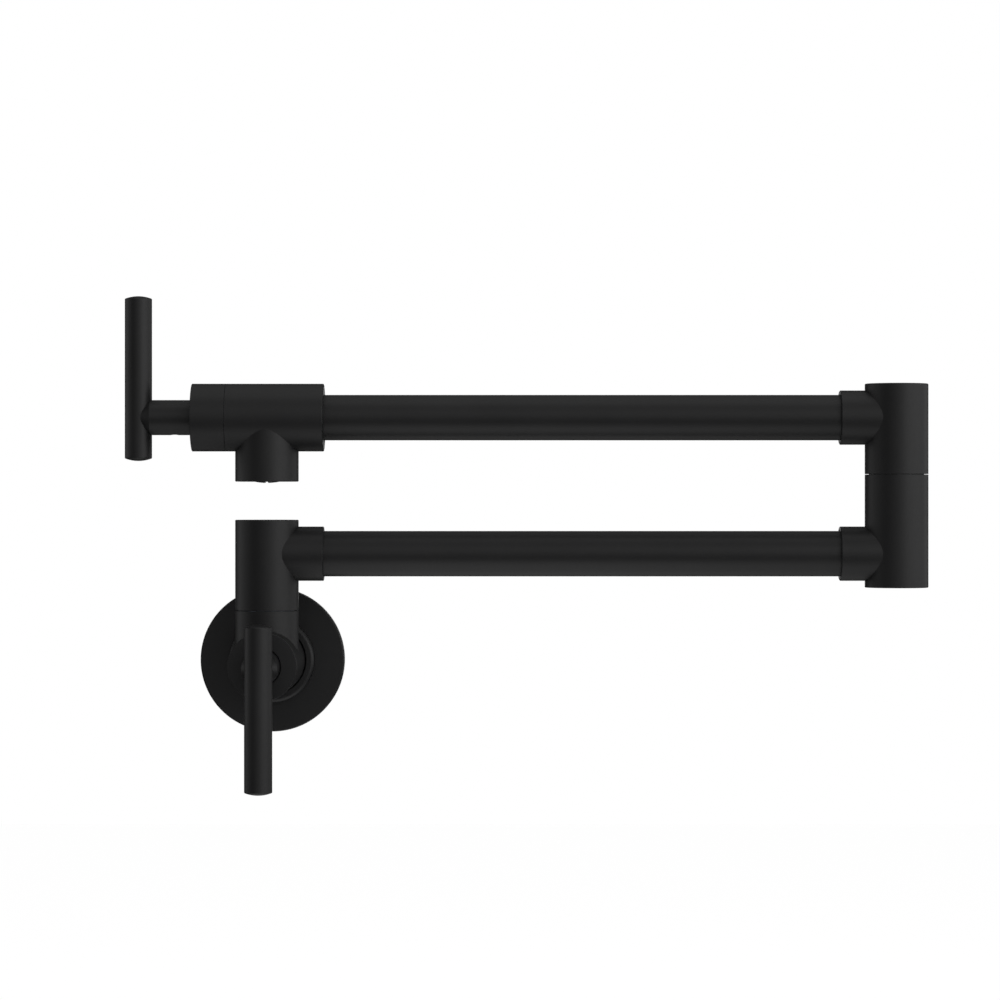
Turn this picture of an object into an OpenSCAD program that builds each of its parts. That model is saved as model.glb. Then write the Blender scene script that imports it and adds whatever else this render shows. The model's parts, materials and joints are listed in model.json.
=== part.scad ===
// Wall mounted pot filler with two folding arms and two lever valves.
// The origin is the centre of the water inlet on the wall. X runs along the folded arms,
// Y points into the wall and Z points up.

/* [Arms] */
// Distance between the wall swivel and the elbow swivel
arm_reach = 305; // [120:1:500]
// Outer diameter of both arm tubes
tube_d = 22; // [18:0.1:23]
// Wall thickness of both arm tubes
tube_wall = 1.6; // [1:0.1:3]
// Height of the lower arm axis above the inlet axis
lower_arm_rise = 53.2; // [50:0.1:66]
// Distance from the lower arm axis up to the upper arm axis
arm_spacing = 65.9; // [62:0.1:120]
// Distance from the wall to the upright plane that both arms lie in
wall_stand = 48; // [42:0.5:90]

/* [Hubs and collars] */
// Outer diameter of the hubs, the riser and the nozzle
hub_d = 30.7; // [29.5:0.1:40]
// How far each hub reaches past its arm axis
hub_over = 16.4; // [14:0.1:30]
// Distance from each arm axis to the seam of its swivel below
seam_drop = 27.45; // [26.5:0.05:29]
// Open gap between the two halves of a swivel
swivel_gap = 0.27; // [0.2:0.01:0.6]
// Wall thickness of a collar round its tube
collar_wall = 2.1; // [1.5:0.1:3]
// Distance from the hub axis to the end of its collar
collar_reach = 27.6; // [26:0.1:45]
// Depth of the socket that takes a tube end
socket_depth = 13; // [9:0.5:13.5]
// Diameter of the waterway between a hub and its tube
arm_way_d = 11; // [8:0.5:14]
// Diameter of the upright waterway in the elbow's lower hub
stem_way_d = 13; // [11.5:0.5:16]
// How far a drilled waterway runs past the one that it meets
drill_past = 2; // [1:0.5:4]
// Width of the broken edges on hubs, collars and barrels
edge_break = 0.3; // [0.1:0.05:0.8]
// Width of the finer broken edges at a seam
seam_edge = 0.06; // [0.05:0.01:0.3]

/* [Swivel posts] */
// Outer diameter of the swivel posts
post_d = 21; // [20:0.1:22]
// Bore of the swivel posts
post_bore_d = 12; // [9:0.5:13]
// Number of ports round a post
port_count = 4; // [2:1:6]
// Diameter of each port
port_d = 7; // [4:0.5:8]
// How far a post reaches above the arm axis
post_over = 11; // [11:0.1:13]
// Thickness of the closed top of a post
post_cap_t = 4; // [2:0.5:6]
// Space between the top of a post and the closed end of its hub
post_end_gap = 0.5; // [0.3:0.1:1]
// Metal left between the post's socket in the riser and the valve chamber
riser_web = 1.9; // [1:0.1:4]
// Height of the water groove inside a hub
water_groove_h = 10; // [8:0.5:10]
// Depth of the water groove inside a hub
water_groove_depth = 1.7; // [0.8:0.1:2.5]
// Outer diameter of the thrust washer
washer_d = 26.6; // [24:0.1:28]
// Thickness of the thrust washer
washer_t = 1.5; // [1:0.1:2.5]
// Space between the thrust washer and its post
washer_clear = 0.1; // [0.05:0.05:0.3]
// Height of the retaining groove above the seam
retainer_h = 9; // [7:0.5:11]
// Width of the retaining groove
retainer_w = 4.4; // [4:0.1:6]
// Depth of the retaining groove
retainer_depth = 1.6; // [1:0.1:2]
// Space between the tip of the retaining screw and the floor of its groove
retainer_tip_gap = 0.4; // [0.3:0.05:0.6]

/* [Valves] */
// Outer diameter of both valve barrels
barrel_d = 32.8; // [31.5:0.1:45]
// Distance from the riser or nozzle axis to the seam of the bonnet
bonnet_seam = 19.7; // [18:0.1:30]
// Length of the bonnet
bonnet_len = 16.5; // [16:0.1:24]
// Thickness of the bonnet's front
bonnet_face_t = 4; // [2:0.5:4.5]
// Step from the barrel in to the threaded spigot under the bonnet
spigot_step = 3; // [2:0.1:3.2]
// Length of the spigot
spigot_len = 5.5; // [4:0.1:5.5]
// Diameter of the chamber that holds the cartridge
chamber_d = 21; // [20:0.1:22.5]
// Distance from the riser or nozzle axis back to the valve seat
seat_depth = 12; // [11:0.1:12.5]
// Diameter of the water hole in the valve seat
seat_way_d = 11; // [7:0.5:12]
// Diameter of the waterway up the riser and down the nozzle
port_way_d = 12; // [9:0.5:14]
// Distance from the nozzle axis to the tube end of the spout valve
spout_tail = 27.6; // [26:0.1:45]
// Diameter of the inlet bore before its half inch taper pipe thread is cut
inlet_d = 18.26; // [15:0.01:20]
// Depth of the inlet bore
inlet_depth = 15; // [12:0.5:18]

/* [Cartridges] */
// Outer diameter of the slim lower part of the housing
housing_d = 17.8; // [17:0.1:18.5]
// Space between the foot of the housing and the seat
housing_lift = 0.5; // [0.3:0.1:1]
// Distance from the port axis to the start of the housing's thread
housing_grip = 8; // [7:0.5:12]
// Diameter of the housing's flange
housing_flange_d = 25.8; // [24:0.1:26.5]
// Thickness of the housing's flange
housing_flange_t = 2; // [1:0.1:2]
// Width across the corners of the six sided nose
nose_d = 14; // [12:0.5:15]
// Length of the nose
nose_len = 3.6; // [2:0.1:3.6]
// Diameter of the housing's bore for the discs
disc_bore_d = 15.4; // [15:0.1:15.8]
// Distance that this bore runs past the port axis
disc_bore_past = 3; // [1:0.5:5]
// Number of side windows
window_count = 4; // [2:1:4]
// Width of a side window
window_w = 7; // [4:0.5:7]
// Height of a side window
window_h = 5.5; // [3:0.5:6]
// Thickness of the rubber seat seal
seal_t = 2; // [1.5:0.1:2.5]
// Thickness of each ceramic disc
disc_t = 3; // [2:0.1:3]
// Space between the turning disc and the housing
disc_gap = 0.3; // [0.3:0.05:0.5]
// Inner diameter of the openings in the discs
disc_open_in_d = 4.4; // [3:0.1:5]
// Outer diameter of the openings in the discs
disc_open_out_d = 12; // [10:0.5:12.5]
// Angle that one opening covers
disc_open_angle = 80; // [50:1:84]
// Width of the ears that stop the fixed disc from turning
ear_w = 2; // [1.5:0.1:3]
// Diameter over the ears
ear_d = 17.2; // [16.5:0.1:17.6]
// Thickness of the driver plate on the spindle
driver_t = 2.5; // [1.5:0.1:3]
// Width of the driver plate
driver_w = 6; // [4:0.5:7]
// Width of the key that turns the disc
key_w = 3; // [2:0.1:3.6]
// Length of the key
key_len = 10; // [7:0.5:12]
// Height of the key
key_h = 1.2; // [0.8:0.1:1.6]
// Space round the key in its slot
key_gap = 0.1; // [0.05:0.05:0.2]
// Diameter of the spindle
spindle_d = 8; // [7:0.1:8.5]
// Distance from the port axis to the end of the spindle
spindle_reach = 49; // [47.5:0.5:52]
// Depth of the flat on the spindle
flat_depth = 0.5; // [0.3:0.1:1]
// Length of the flat on the spindle
flat_len = 8; // [7:0.5:10]

/* [Levers] */
// Diameter of the lever's neck
neck_d = 17; // [15:0.1:19]
// Open gap between the neck and the hole in the bonnet
neck_gap = 0.35; // [0.3:0.05:0.6]
// How far the neck reaches into the bonnet
neck_tuck = 3.4; // [2:0.1:3.6]
// Distance from the port axis to the axis of the lever bar
lever_out = 62.26; // [59:0.1:75]
// Distance before the lever axis at which the neck starts to taper
taper_len = 5.86; // [4:0.1:6]
// How much the neck's radius falls over the taper
taper_fall = 2.78; // [2.4:0.01:3.4]
// Diameter of the lever bar
lever_d = 13.15; // [11.5:0.05:14.5]
// Long end of the lever bar, from the neck axis
lever_long = 58.8; // [40:0.1:90]
// Short end of the lever bar, from the neck axis
lever_short = 21; // [15:0.1:40]
// Rise of the domed ends of the bar
dome_rise = 1.15; // [0.5:0.05:3]
// Diameter of the threaded stud that holds the bar on the neck
stud_d = 5; // [4:0.5:6]
// How far the stud runs past the bar's axis
stud_past = 2; // [1:0.5:3]
// Distance from the port axis to the set screw in the neck
lever_screw_out = 44.8; // [43:0.1:46.5]
// Diameter of the set screw in the neck
lever_screw_d = 4; // [3:0.5:5]
// Depth of that screw below the surface of the neck
lever_screw_sink = 0.7; // [0.3:0.1:1.5]

/* [Wall flange] */
// Diameter of the wall flange
flange_d = 71.4; // [60:0.1:100]
// Thickness of the wall flange
flange_t = 6.7; // [5:0.1:12]
// Width of the flange's rim against the wall
flange_rim = 3; // [2:0.1:5]
// Depth of the pocket in the back of the flange
pocket_depth = 3.5; // [2:0.1:4]
// Open gap between the barrel and the holes of the flange and its collar
flange_gap = 0.6; // [0.5:0.05:0.9]
// Wall of the flange's collar beside the barrel
flange_collar_wall = 4.1; // [3:0.1:8]
// Height of the flange's collar
flange_collar_h = 6; // [4.5:0.1:12]
// Width of the bright chamfer on the flange's collar
flange_collar_chamfer = 1.1; // [0.5:0.1:1.8]
// Width of the broken edge of the flange
flange_edge = 0.6; // [0.2:0.1:1.5]
// Land between the pocket and the hole in the flange
pocket_land = 3; // [2:0.1:5]
// Space between the gasket and the walls of its pocket
gasket_gap = 0.3; // [0.1:0.1:0.8]

/* [Nozzle] */
// Distance from the upper arm axis down to the rim of the nozzle
nozzle_drop = 31; // [29:0.1:50]
// Diameter of the threaded aerator housing
aerator_d = 24; // [22:0.1:25]
// Depth of the aerator's pocket
aerator_depth = 10.5; // [10:0.1:12]
// How far the aerator housing sits above the rim
aerator_recess = 0.3; // [0.1:0.1:1]
// Thickness of the aerator's washer
aerator_washer_t = 1.5; // [1:0.1:2]
// Thickness of the lip that carries the insert
lip_t = 2.4; // [1.5:0.1:2.6]
// Width of that lip
lip_w = 3; // [2:0.1:3.2]
// Wall of the aerator housing beside the insert
aerator_wall = 1.85; // [1.2:0.05:1.9]
// Thickness of the insert
insert_t = 4.8; // [3:0.1:5]
// Diameter of the domed boss of the insert
boss_d = 12.6; // [10:0.1:13]
// How far the dome stands proud of the rim
boss_proud = 0.65; // [0.2:0.05:1]
// Width of the slot across the dome
slot_w = 1.6; // [1:0.1:3]
// Depth of the slot
slot_depth = 1.2; // [0.8:0.1:2]
// Number of water holes round the boss
jet_count = 12; // [6:1:16]
// Diameter of a water hole
jet_d = 1.4; // [0.8:0.1:1.8]

/* [Seals] */
// Section of the rings on the swivel posts
post_ring_cs = 2.4; // [2:0.1:2.4]
// Section of the rings at the tube ends
tube_ring_cs = 1.5; // [1.2:0.1:1.8]
// Section of the ring on the cartridge housing
housing_ring_cs = 1.8; // [1.5:0.1:2]
// Section of the ring on the spindle
spindle_ring_cs = 1.3; // [1:0.1:1.5]
// Section of the ring in the flange's collar
collar_ring_cs = 1.9; // [1.8:0.1:2]
// Clearance all round a ring in its groove
ring_tuck = 0.05; // [0.03:0.01:0.1]
// Extra width of a groove beside its ring
groove_side = 0.5; // [0.3:0.1:0.8]
// Metal between a ring's groove and the next edge
ring_land = 1.5; // [1:0.1:1.6]

/* [Screws] */
// Diameter of the screws that retain the hubs
hub_screw_d = 5; // [4:0.5:5]
// Diameter of the dog point on those screws
hub_screw_tip_d = 3.2; // [2.5:0.1:3.4]
// Depth of those screws below the surface of the hub
hub_screw_sink = 0.75; // [0.3:0.05:1.5]
// Length of the point of the screws in the necks
tip_len = 0.8; // [0.5:0.1:1]
// Diameter of that point, as a share of the screw
tip_share = 0.7; // [0.5:0.05:0.8]
// Width across the corners of a screw's key socket, as a share of the screw
key_share = 0.56; // [0.4:0.02:0.6]
// Depth of a screw's key socket
key_socket_depth = 1.8; // [1:0.1:2]

/* [Fits] */
// Clearance between a fixed piece and its seat
seat_fit = 0.05; // [0.03:0.01:0.1]
// Clearance between a turning piece and its bearing
running_fit = 0.05; // [0.03:0.01:0.1]

/* [Hidden] */
$fn = 96;
// Sides of a hexagon
hex_sides = 6;
// How far a cut runs past the surface that it opens
overrun = 0.5;
// Thickness of the clip on the spindle, and its clearance from the nose
clip_t = 0.8;
clip_gap = 0.1;
// Depth of the clip's groove, and how far the clip stands out of the spindle
clip_depth = 0.7;
clip_proud = 1.6;
// How deep the socket runs past the spindle's end
spindle_end_gap = 0.5;

half_gap = swivel_gap / 2;
lower_z = lower_arm_rise;
upper_z = lower_z + arm_spacing;
wall_seam_z = lower_z - seam_drop;
elbow_seam_z = upper_z - seam_drop;

// Tubes and their sockets
collar_d = tube_d + 2 * seat_fit + 2 * collar_wall;
socket_d = tube_d + 2 * seat_fit;
socket_floor = collar_reach - socket_depth;
spout_floor = spout_tail - socket_depth;
seal_space = tube_ring_cs + 2 * ring_tuck;
tube_bore_d = tube_d - 2 * tube_wall;

// Posts, measured from the middle of the seam
washer_low = half_gap - washer_t;
post_grip = wall_seam_z + washer_low - chamber_d / 2 - riser_web;
post_low = washer_low - post_grip;
post_top = seam_drop + post_over;
post_groove_w = post_ring_cs + groove_side;
post_ring_mid_d = post_d - post_ring_cs - 2 * ring_tuck;
post_ring_offset = water_groove_h / 2 + ring_land + post_groove_w / 2;
post_ring_heights = [
  post_low + ring_land + post_groove_w / 2,
  seam_drop - post_ring_offset,
  seam_drop + post_ring_offset
];
hub_bore_d = post_d + 2 * running_fit;

// Valves, measured from the riser or nozzle axis along the barrel
bonnet_top = bonnet_seam + bonnet_len;
spigot_d = barrel_d - 2 * spigot_step;
spigot_top = bonnet_seam + spigot_len;
housing_low = housing_lift - seat_depth;
housing_grip_d = chamber_d - 2 * seat_fit;
flange_top = spigot_top + housing_flange_t;
nose_top = flange_top + nose_len;
fixed_low = seal_t - seat_depth;
moving_low = fixed_low + disc_t;
moving_top = moving_low + disc_t;
driver_top = moving_top + driver_t;
window_low = moving_top + seat_fit;
fixed_disc_d = disc_bore_d - 2 * seat_fit;
moving_disc_d = disc_bore_d - 2 * disc_gap;
spindle_hole_d = spindle_d + 2 * running_fit;
spindle_ring_mid_d = spindle_d - spindle_ring_cs - 2 * ring_tuck;
spindle_ring_h = (disc_bore_past + spigot_top) / 2;
housing_ring_mid_d = housing_grip_d - housing_ring_cs - 2 * ring_tuck;
housing_groove_w = housing_ring_cs + groove_side;
housing_ring_h = spigot_top - ring_land - housing_groove_w / 2;
clip_low = nose_top + clip_gap;
neck_low = bonnet_top - neck_tuck;
taper_low = lever_out - taper_len;

// Wall flange, measured from the wall
flange_hole_d = barrel_d + 2 * flange_gap;
flange_collar_d = flange_hole_d + 2 * flange_collar_wall;
flange_collar_top = flange_t + flange_collar_h;
collar_ring_mid_d = barrel_d + collar_ring_cs + 2 * ring_tuck;
collar_groove_w = collar_ring_cs + groove_side;
collar_ring_h = flange_t + flange_collar_h / 2;
pocket_in_d = flange_hole_d + 2 * pocket_land;
pocket_out_d = flange_d - 2 * flange_rim;

// Aerator, measured from the upper arm axis down the nozzle
aerator_top = nozzle_drop - aerator_depth;
aerator_housing_top = aerator_top + aerator_washer_t;
aerator_low = nozzle_drop - aerator_recess;
lip_top = aerator_low - lip_t;
lip_hole_d = aerator_d - 2 * lip_w;
insert_d = aerator_d - 2 * aerator_wall - 2 * seat_fit;
insert_top = lip_top - insert_t;
jet_ring_d = (boss_d + lip_hole_d) / 2;

matt_black = [0.11, 0.11, 0.11];
bare_brass = [0.78, 0.62, 0.32];
black_rubber = [0.05, 0.05, 0.05];
white_ceramic = [0.93, 0.92, 0.88];
dark_steel = [0.25, 0.25, 0.26];
bright_steel = [0.7, 0.71, 0.72];
blue_grey_plastic = [0.22, 0.25, 0.3];
grey_plastic = [0.3, 0.3, 0.31];

// Turned bar along Z whose outer edges are broken by their own widths
module turned(d, low, high, low_edge, high_edge) {
  r = d / 2;
  rotate_extrude()
    polygon([
      [0, low],
      [r - low_edge, low],
      [r, low + low_edge],
      [r, high - high_edge],
      [r - high_edge, high],
      [0, high]
    ]);
}

// Plain round bar along Z, also used as a bore
module bar(d, low, high) {
  translate([0, 0, low])
    cylinder(h = high - low, d = d);
}

// Flat ring along Z
module ring(outer_d, inner_d, low, high) {
  difference() {
    bar(outer_d, low, high);
    bar(inner_d, low - overrun, high + overrun);
  }
}

// Ring of round section that lies round Z
module o_ring(mid_d, cs, height) {
  translate([0, 0, height])
    rotate_extrude()
      translate([mid_d / 2, 0])
        circle(d = cs);
}

// Cut for a ring that sits in the outside of a shaft
module shaft_groove(shaft_d, mid_d, cs, height) {
  width = cs + groove_side;
  ring(shaft_d + 2 * overrun, mid_d - cs - 2 * ring_tuck, height - width / 2, height + width / 2);
}

// Cap of a sphere that stands on a circle at height zero
module dome(base_r, rise) {
  sphere_r = (base_r * base_r + rise * rise) / (2 * rise);
  intersection() {
    translate([0, 0, rise - sphere_r])
      sphere(r = sphere_r);
    bar(3 * base_r, 0, rise + overrun);
  }
}

// Round bar whose far end is a dome that rises to high
module domed_bar(d, low, high, rise) {
  sphere_r = (d * d / 4 + rise * rise) / (2 * rise);
  intersection() {
    translate([0, 0, high - sphere_r])
      sphere(r = sphere_r);
    bar(d, low, high + overrun);
  }
}

// Set screw along Z, with its point from low to shoulder and its key socket at high
module set_screw(d, tip_d, low, shoulder, high) {
  difference() {
    union() {
      bar(tip_d, low, shoulder + overrun);
      bar(d, shoulder, high);
    }
    translate([0, 0, high - key_socket_depth])
      cylinder(h = key_socket_depth + overrun, d = d * key_share, $fn = hex_sides);
  }
}

// Z out of the wall, X to the right
module out_of_wall() {
  rotate([90, 0, 0])
    children();
}

// Wall valve: Z towards its lever, X up the riser
module at_wall_valve() {
  translate([0, -wall_stand, 0])
    rotate([90, 0, 0])
      rotate([0, 0, 90])
        children();
}

// Spout valve: Z towards its lever, X down the nozzle
module at_spout_valve() {
  translate([0, -wall_stand, upper_z])
    rotate([0, -90, 0])
      rotate([0, 0, 180])
        children();
}

// Nozzle: Z down from the upper arm axis
module at_nozzle() {
  at_spout_valve()
    rotate([0, 90, 0])
      children();
}

module at_wall_seam() {
  translate([0, -wall_stand, wall_seam_z])
    children();
}

module at_elbow_seam() {
  translate([arm_reach, -wall_stand, elbow_seam_z])
    children();
}

// Z along an arm, to the right for side 1 and to the left for side -1
module along_arm(height, side) {
  translate([0, 0, height])
    rotate([0, 90 * side, 0])
      children();
}

// Outside of a hub with the collar that takes its tube
module hub_outside(low, high, low_edge, high_edge, arm_h, side) {
  turned(hub_d, low, high, low_edge, high_edge);
  along_arm(arm_h, side)
    turned(collar_d, 0, collar_reach, edge_break, edge_break);
}

// Socket for a tube end and the waterway behind it
module tube_socket(arm_h, side) {
  along_arm(arm_h, side) {
    bar(arm_way_d, 0, socket_floor + overrun);
    bar(socket_d, socket_floor, collar_reach + overrun);
  }
}

// Hub that swings on a post, in the frame of the seam under it
module swinging_hub(side) {
  difference() {
    hub_outside(half_gap, seam_drop + hub_over, seam_edge, edge_break, seam_drop, side);
    tube_socket(seam_drop, side);
    bar(hub_bore_d, -overrun, post_top + post_end_gap);
    bar(
      hub_bore_d + 2 * water_groove_depth,
      seam_drop - water_groove_h / 2,
      seam_drop + water_groove_h / 2
    );
    retainer_line()
      bar(hub_screw_d + 2 * seat_fit, 0, hub_d / 2 + overrun);
  }
}

// Z from the post towards the wall, at the height of the retaining groove
module retainer_line() {
  translate([0, 0, retainer_h])
    rotate([-90, 0, 0])
      children();
}

// Screw whose dog point runs in the groove of the post
module retaining_screw() {
  tip = post_d / 2 - retainer_depth + retainer_tip_gap;
  retainer_line()
    set_screw(hub_screw_d, hub_screw_tip_d, tip, hub_bore_d / 2, hub_d / 2 - hub_screw_sink);
}

// Recess for the thrust washer and threaded socket for the post
module post_socket() {
  bar(washer_d + 2 * seat_fit, washer_low, half_gap + overrun);
  bar(post_d + 2 * seat_fit, post_low, washer_low + overrun);
}

// Hollow swivel post with ports at the height of the arm
module post() {
  difference() {
    bar(post_d, post_low, post_top);
    bar(post_bore_d, post_low - overrun, post_top - post_cap_t);
    for (i = [0 : port_count - 1])
      rotate([0, 0, i * 360 / port_count])
        along_arm(seam_drop, 1)
          bar(port_d, 0, post_d / 2 + overrun);
    for (height = post_ring_heights)
      shaft_groove(post_d, post_ring_mid_d, post_ring_cs, height);
    ring(
      post_d + 2 * overrun,
      post_d - 2 * retainer_depth,
      retainer_h - retainer_w / 2,
      retainer_h + retainer_w / 2
    );
  }
}

module post_o_rings() {
  for (height = post_ring_heights)
    o_ring(post_ring_mid_d, post_ring_cs, height);
}

module thrust_washer() {
  ring(washer_d, post_d + 2 * washer_clear, washer_low, half_gap);
}

// Hollow tube along X between two sockets
module arm_tube(height, left_floor, right_floor) {
  translate([0, -wall_stand, height])
    rotate([0, 90, 0])
      ring(tube_d, tube_bore_d, left_floor + seal_space, arm_reach - right_floor - seal_space);
}

// Ring between each end of a tube and the floor of its socket
module tube_seals(height, left_floor, right_floor) {
  for (x = [left_floor, arm_reach - right_floor - seal_space])
    translate([x, -wall_stand, height])
      rotate([0, 90, 0])
        o_ring((tube_d + tube_bore_d) / 2, tube_ring_cs, seal_space / 2);
}

// Barrel, spigot and side port of a valve before they are bored
module valve_outside(tail, port_reach, port_edge) {
  turned(barrel_d, -tail, bonnet_seam, edge_break, seam_edge);
  bar(spigot_d, 0, spigot_top);
  along_arm(0, 1)
    turned(hub_d, 0, port_reach, edge_break, port_edge);
}

// Chamber, seat hole and side waterway of a valve
module valve_inside(tail, port_reach) {
  bar(chamber_d, -seat_depth, spigot_top + overrun);
  bar(seat_way_d, -tail - overrun, -seat_depth + overrun);
  along_arm(0, 1)
    bar(port_way_d, 0, port_reach + overrun);
}

module bonnet() {
  difference() {
    turned(barrel_d, bonnet_seam, bonnet_top, seam_edge, edge_break);
    bar(spigot_d + 2 * seat_fit, bonnet_seam - overrun, bonnet_top - bonnet_face_t);
    bar(neck_d + 2 * neck_gap, bonnet_seam, bonnet_top + overrun);
  }
}

// Brass housing of the cartridge
module cartridge_housing() {
  difference() {
    union() {
      bar(housing_d, housing_low, housing_grip + overrun);
      bar(housing_grip_d, housing_grip, spigot_top + overrun);
      bar(housing_flange_d, spigot_top, flange_top);
      translate([0, 0, flange_top - overrun])
        cylinder(h = nose_len + overrun, d = nose_d, $fn = hex_sides);
    }
    bar(disc_bore_d, housing_low - overrun, disc_bore_past);
    bar(spindle_hole_d, 0, nose_top + overrun);
    translate([-(ear_w / 2 + key_gap), -housing_d, housing_low - overrun])
      cube([ear_w + 2 * key_gap, 2 * housing_d, moving_low - housing_low + overrun]);
    for (i = [0 : window_count - 1])
      rotate([0, 0, i * 360 / window_count])
        translate([0, -window_w / 2, window_low])
          cube([housing_d, window_w, window_h]);
    shaft_groove(housing_grip_d, housing_ring_mid_d, housing_ring_cs, housing_ring_h);
  }
}

// Two opposed openings through a disc
module disc_openings(low, turn) {
  for (side = [0, 180])
    rotate([0, 0, turn + side - disc_open_angle / 2])
      translate([0, 0, low - overrun])
        rotate_extrude(angle = disc_open_angle)
          translate([disc_open_in_d / 2, 0])
            square([(disc_open_out_d - disc_open_in_d) / 2, disc_t + 2 * overrun]);
}

// Disc that stays put, with two ears in the slots of the housing
module fixed_disc() {
  difference() {
    union() {
      bar(fixed_disc_d, fixed_low, moving_low);
      intersection() {
        bar(ear_d, fixed_low, moving_low);
        translate([-ear_w / 2, -ear_d, fixed_low])
          cube([ear_w, 2 * ear_d, disc_t]);
      }
    }
    disc_openings(fixed_low, 0);
  }
}

// Disc that turns with the spindle, shut at rest
module moving_disc() {
  difference() {
    bar(moving_disc_d, moving_low, moving_top);
    disc_openings(moving_low, 90);
    translate([-key_len / 2 - key_gap, -key_w / 2 - key_gap, moving_top - key_h - key_gap])
      cube([key_len + 2 * key_gap, key_w + 2 * key_gap, key_h + key_gap + overrun]);
  }
}

module seat_seal() {
  ring(fixed_disc_d, disc_open_out_d, -seat_depth, fixed_low);
}

module spindle() {
  difference() {
    union() {
      bar(spindle_d, moving_top, spindle_reach);
      translate([-key_len / 2, -key_w / 2, moving_top - key_h])
        cube([key_len, key_w, key_h + driver_t]);
      intersection() {
        bar(moving_disc_d, moving_top, driver_top);
        translate([-moving_disc_d / 2, -driver_w / 2, moving_top])
          cube([moving_disc_d, driver_w, driver_t]);
      }
    }
    shaft_groove(spindle_d, spindle_ring_mid_d, spindle_ring_cs, spindle_ring_h);
    ring(spindle_d + 2 * overrun, spindle_d - 2 * clip_depth, clip_low, clip_low + clip_t);
    translate([spindle_d / 2 - flat_depth, -spindle_d, spindle_reach - flat_len])
      cube([spindle_d, 2 * spindle_d, flat_len + overrun]);
  }
}

// Split clip that keeps the spindle in the housing
module spindle_clip() {
  difference() {
    ring(spindle_d + 2 * clip_proud, spindle_d - 2 * clip_depth, clip_low, clip_low + clip_t);
    translate([0, -clip_proud, clip_low - overrun])
      cube([spindle_d, 2 * clip_proud, clip_t + 2 * overrun]);
  }
}

// Neck that carries the lever bar, cut to sit round the bar
module lever_neck() {
  difference() {
    union() {
      bar(neck_d, neck_low, taper_low);
      translate([0, 0, taper_low])
        cylinder(h = taper_len, d1 = neck_d, d2 = neck_d - 2 * taper_fall);
    }
    along_arm(lever_out, 1)
      bar(lever_d + 2 * seat_fit, -neck_d, neck_d);
    bar(spindle_d + 2 * seat_fit, neck_low - overrun, spindle_reach + spindle_end_gap);
    along_arm(lever_screw_out, 1)
      bar(lever_screw_d + 2 * seat_fit, 0, neck_d / 2 + overrun);
  }
  bar(stud_d, lever_out - lever_d / 2 - stud_past, lever_out + stud_past);
}

// Round bar with domed ends, its long end away from the port
module lever_bar() {
  difference() {
    along_arm(lever_out, -1) {
      turned(lever_d, dome_rise - lever_short, lever_long - dome_rise, edge_break, edge_break);
      translate([0, 0, lever_long - dome_rise])
        dome(lever_d / 2 - edge_break, dome_rise);
      translate([0, 0, dome_rise - lever_short])
        mirror([0, 0, 1])
          dome(lever_d / 2 - edge_break, dome_rise);
    }
    bar(stud_d + 2 * seat_fit, lever_out - lever_d, lever_out + stud_past + seat_fit);
  }
}

module lever_screw() {
  tip = spindle_d / 2 - flat_depth;
  along_arm(lever_screw_out, 1)
    set_screw(
      lever_screw_d,
      lever_screw_d * tip_share,
      tip,
      tip + tip_len,
      neck_d / 2 - lever_screw_sink
    );
}

module flange() {
  color(matt_black)
    out_of_wall()
      difference() {
        turned(flange_d, 0, flange_t, seam_edge, flange_edge);
        bar(flange_hole_d, -overrun, flange_t + overrun);
        ring(pocket_out_d, pocket_in_d, -overrun, pocket_depth);
      }
}

module flange_gasket() {
  color(black_rubber)
    out_of_wall()
      ring(pocket_out_d - 2 * gasket_gap, pocket_in_d + 2 * gasket_gap, 0, pocket_depth);
}

module flange_collar() {
  r = flange_collar_d / 2;
  shoulder = flange_collar_top - flange_collar_chamfer;
  color(matt_black)
    out_of_wall()
      difference() {
        rotate_extrude()
          polygon([
            [flange_hole_d / 2, flange_t],
            [r - seam_edge, flange_t],
            [r, flange_t + seam_edge],
            [r, shoulder],
            [r - flange_collar_chamfer, flange_collar_top],
            [flange_hole_d / 2, flange_collar_top]
          ]);
        bar(
          collar_ring_mid_d + collar_ring_cs + 2 * ring_tuck,
          collar_ring_h - collar_groove_w / 2,
          collar_ring_h + collar_groove_w / 2
        );
      }
}

module collar_o_ring() {
  color(black_rubber)
    out_of_wall()
      o_ring(collar_ring_mid_d, collar_ring_cs, collar_ring_h);
}

module wall_valve_body() {
  color(matt_black)
    difference() {
      at_wall_valve()
        valve_outside(wall_stand, wall_seam_z - half_gap, seam_edge);
      at_wall_valve()
        valve_inside(wall_stand, wall_seam_z);
      at_wall_valve()
        bar(inlet_d, -wall_stand - overrun, inlet_depth - wall_stand);
      at_wall_seam()
        post_socket();
    }
}

module wall_bonnet() {
  color(matt_black)
    at_wall_valve()
      bonnet();
}

module wall_cartridge_housing() {
  color(bare_brass)
    at_wall_valve()
      cartridge_housing();
}

module wall_fixed_disc() {
  color(white_ceramic)
    at_wall_valve()
      fixed_disc();
}

module wall_seat_seal() {
  color(black_rubber)
    at_wall_valve()
      seat_seal();
}

module wall_housing_o_ring() {
  color(black_rubber)
    at_wall_valve()
      o_ring(housing_ring_mid_d, housing_ring_cs, housing_ring_h);
}

module wall_post() {
  color(bare_brass)
    at_wall_seam()
      post();
}

module wall_post_o_rings() {
  color(black_rubber)
    at_wall_seam()
      post_o_rings();
}

module wall_thrust_washer() {
  color(blue_grey_plastic)
    at_wall_seam()
      thrust_washer();
}

module wall_lever_neck() {
  color(matt_black)
    at_wall_valve()
      lever_neck();
}

module wall_lever_bar() {
  color(matt_black)
    at_wall_valve()
      lever_bar();
}

module wall_lever_screw() {
  color(dark_steel)
    at_wall_valve()
      lever_screw();
}

module wall_spindle() {
  color(bare_brass)
    at_wall_valve()
      spindle();
}

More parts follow.
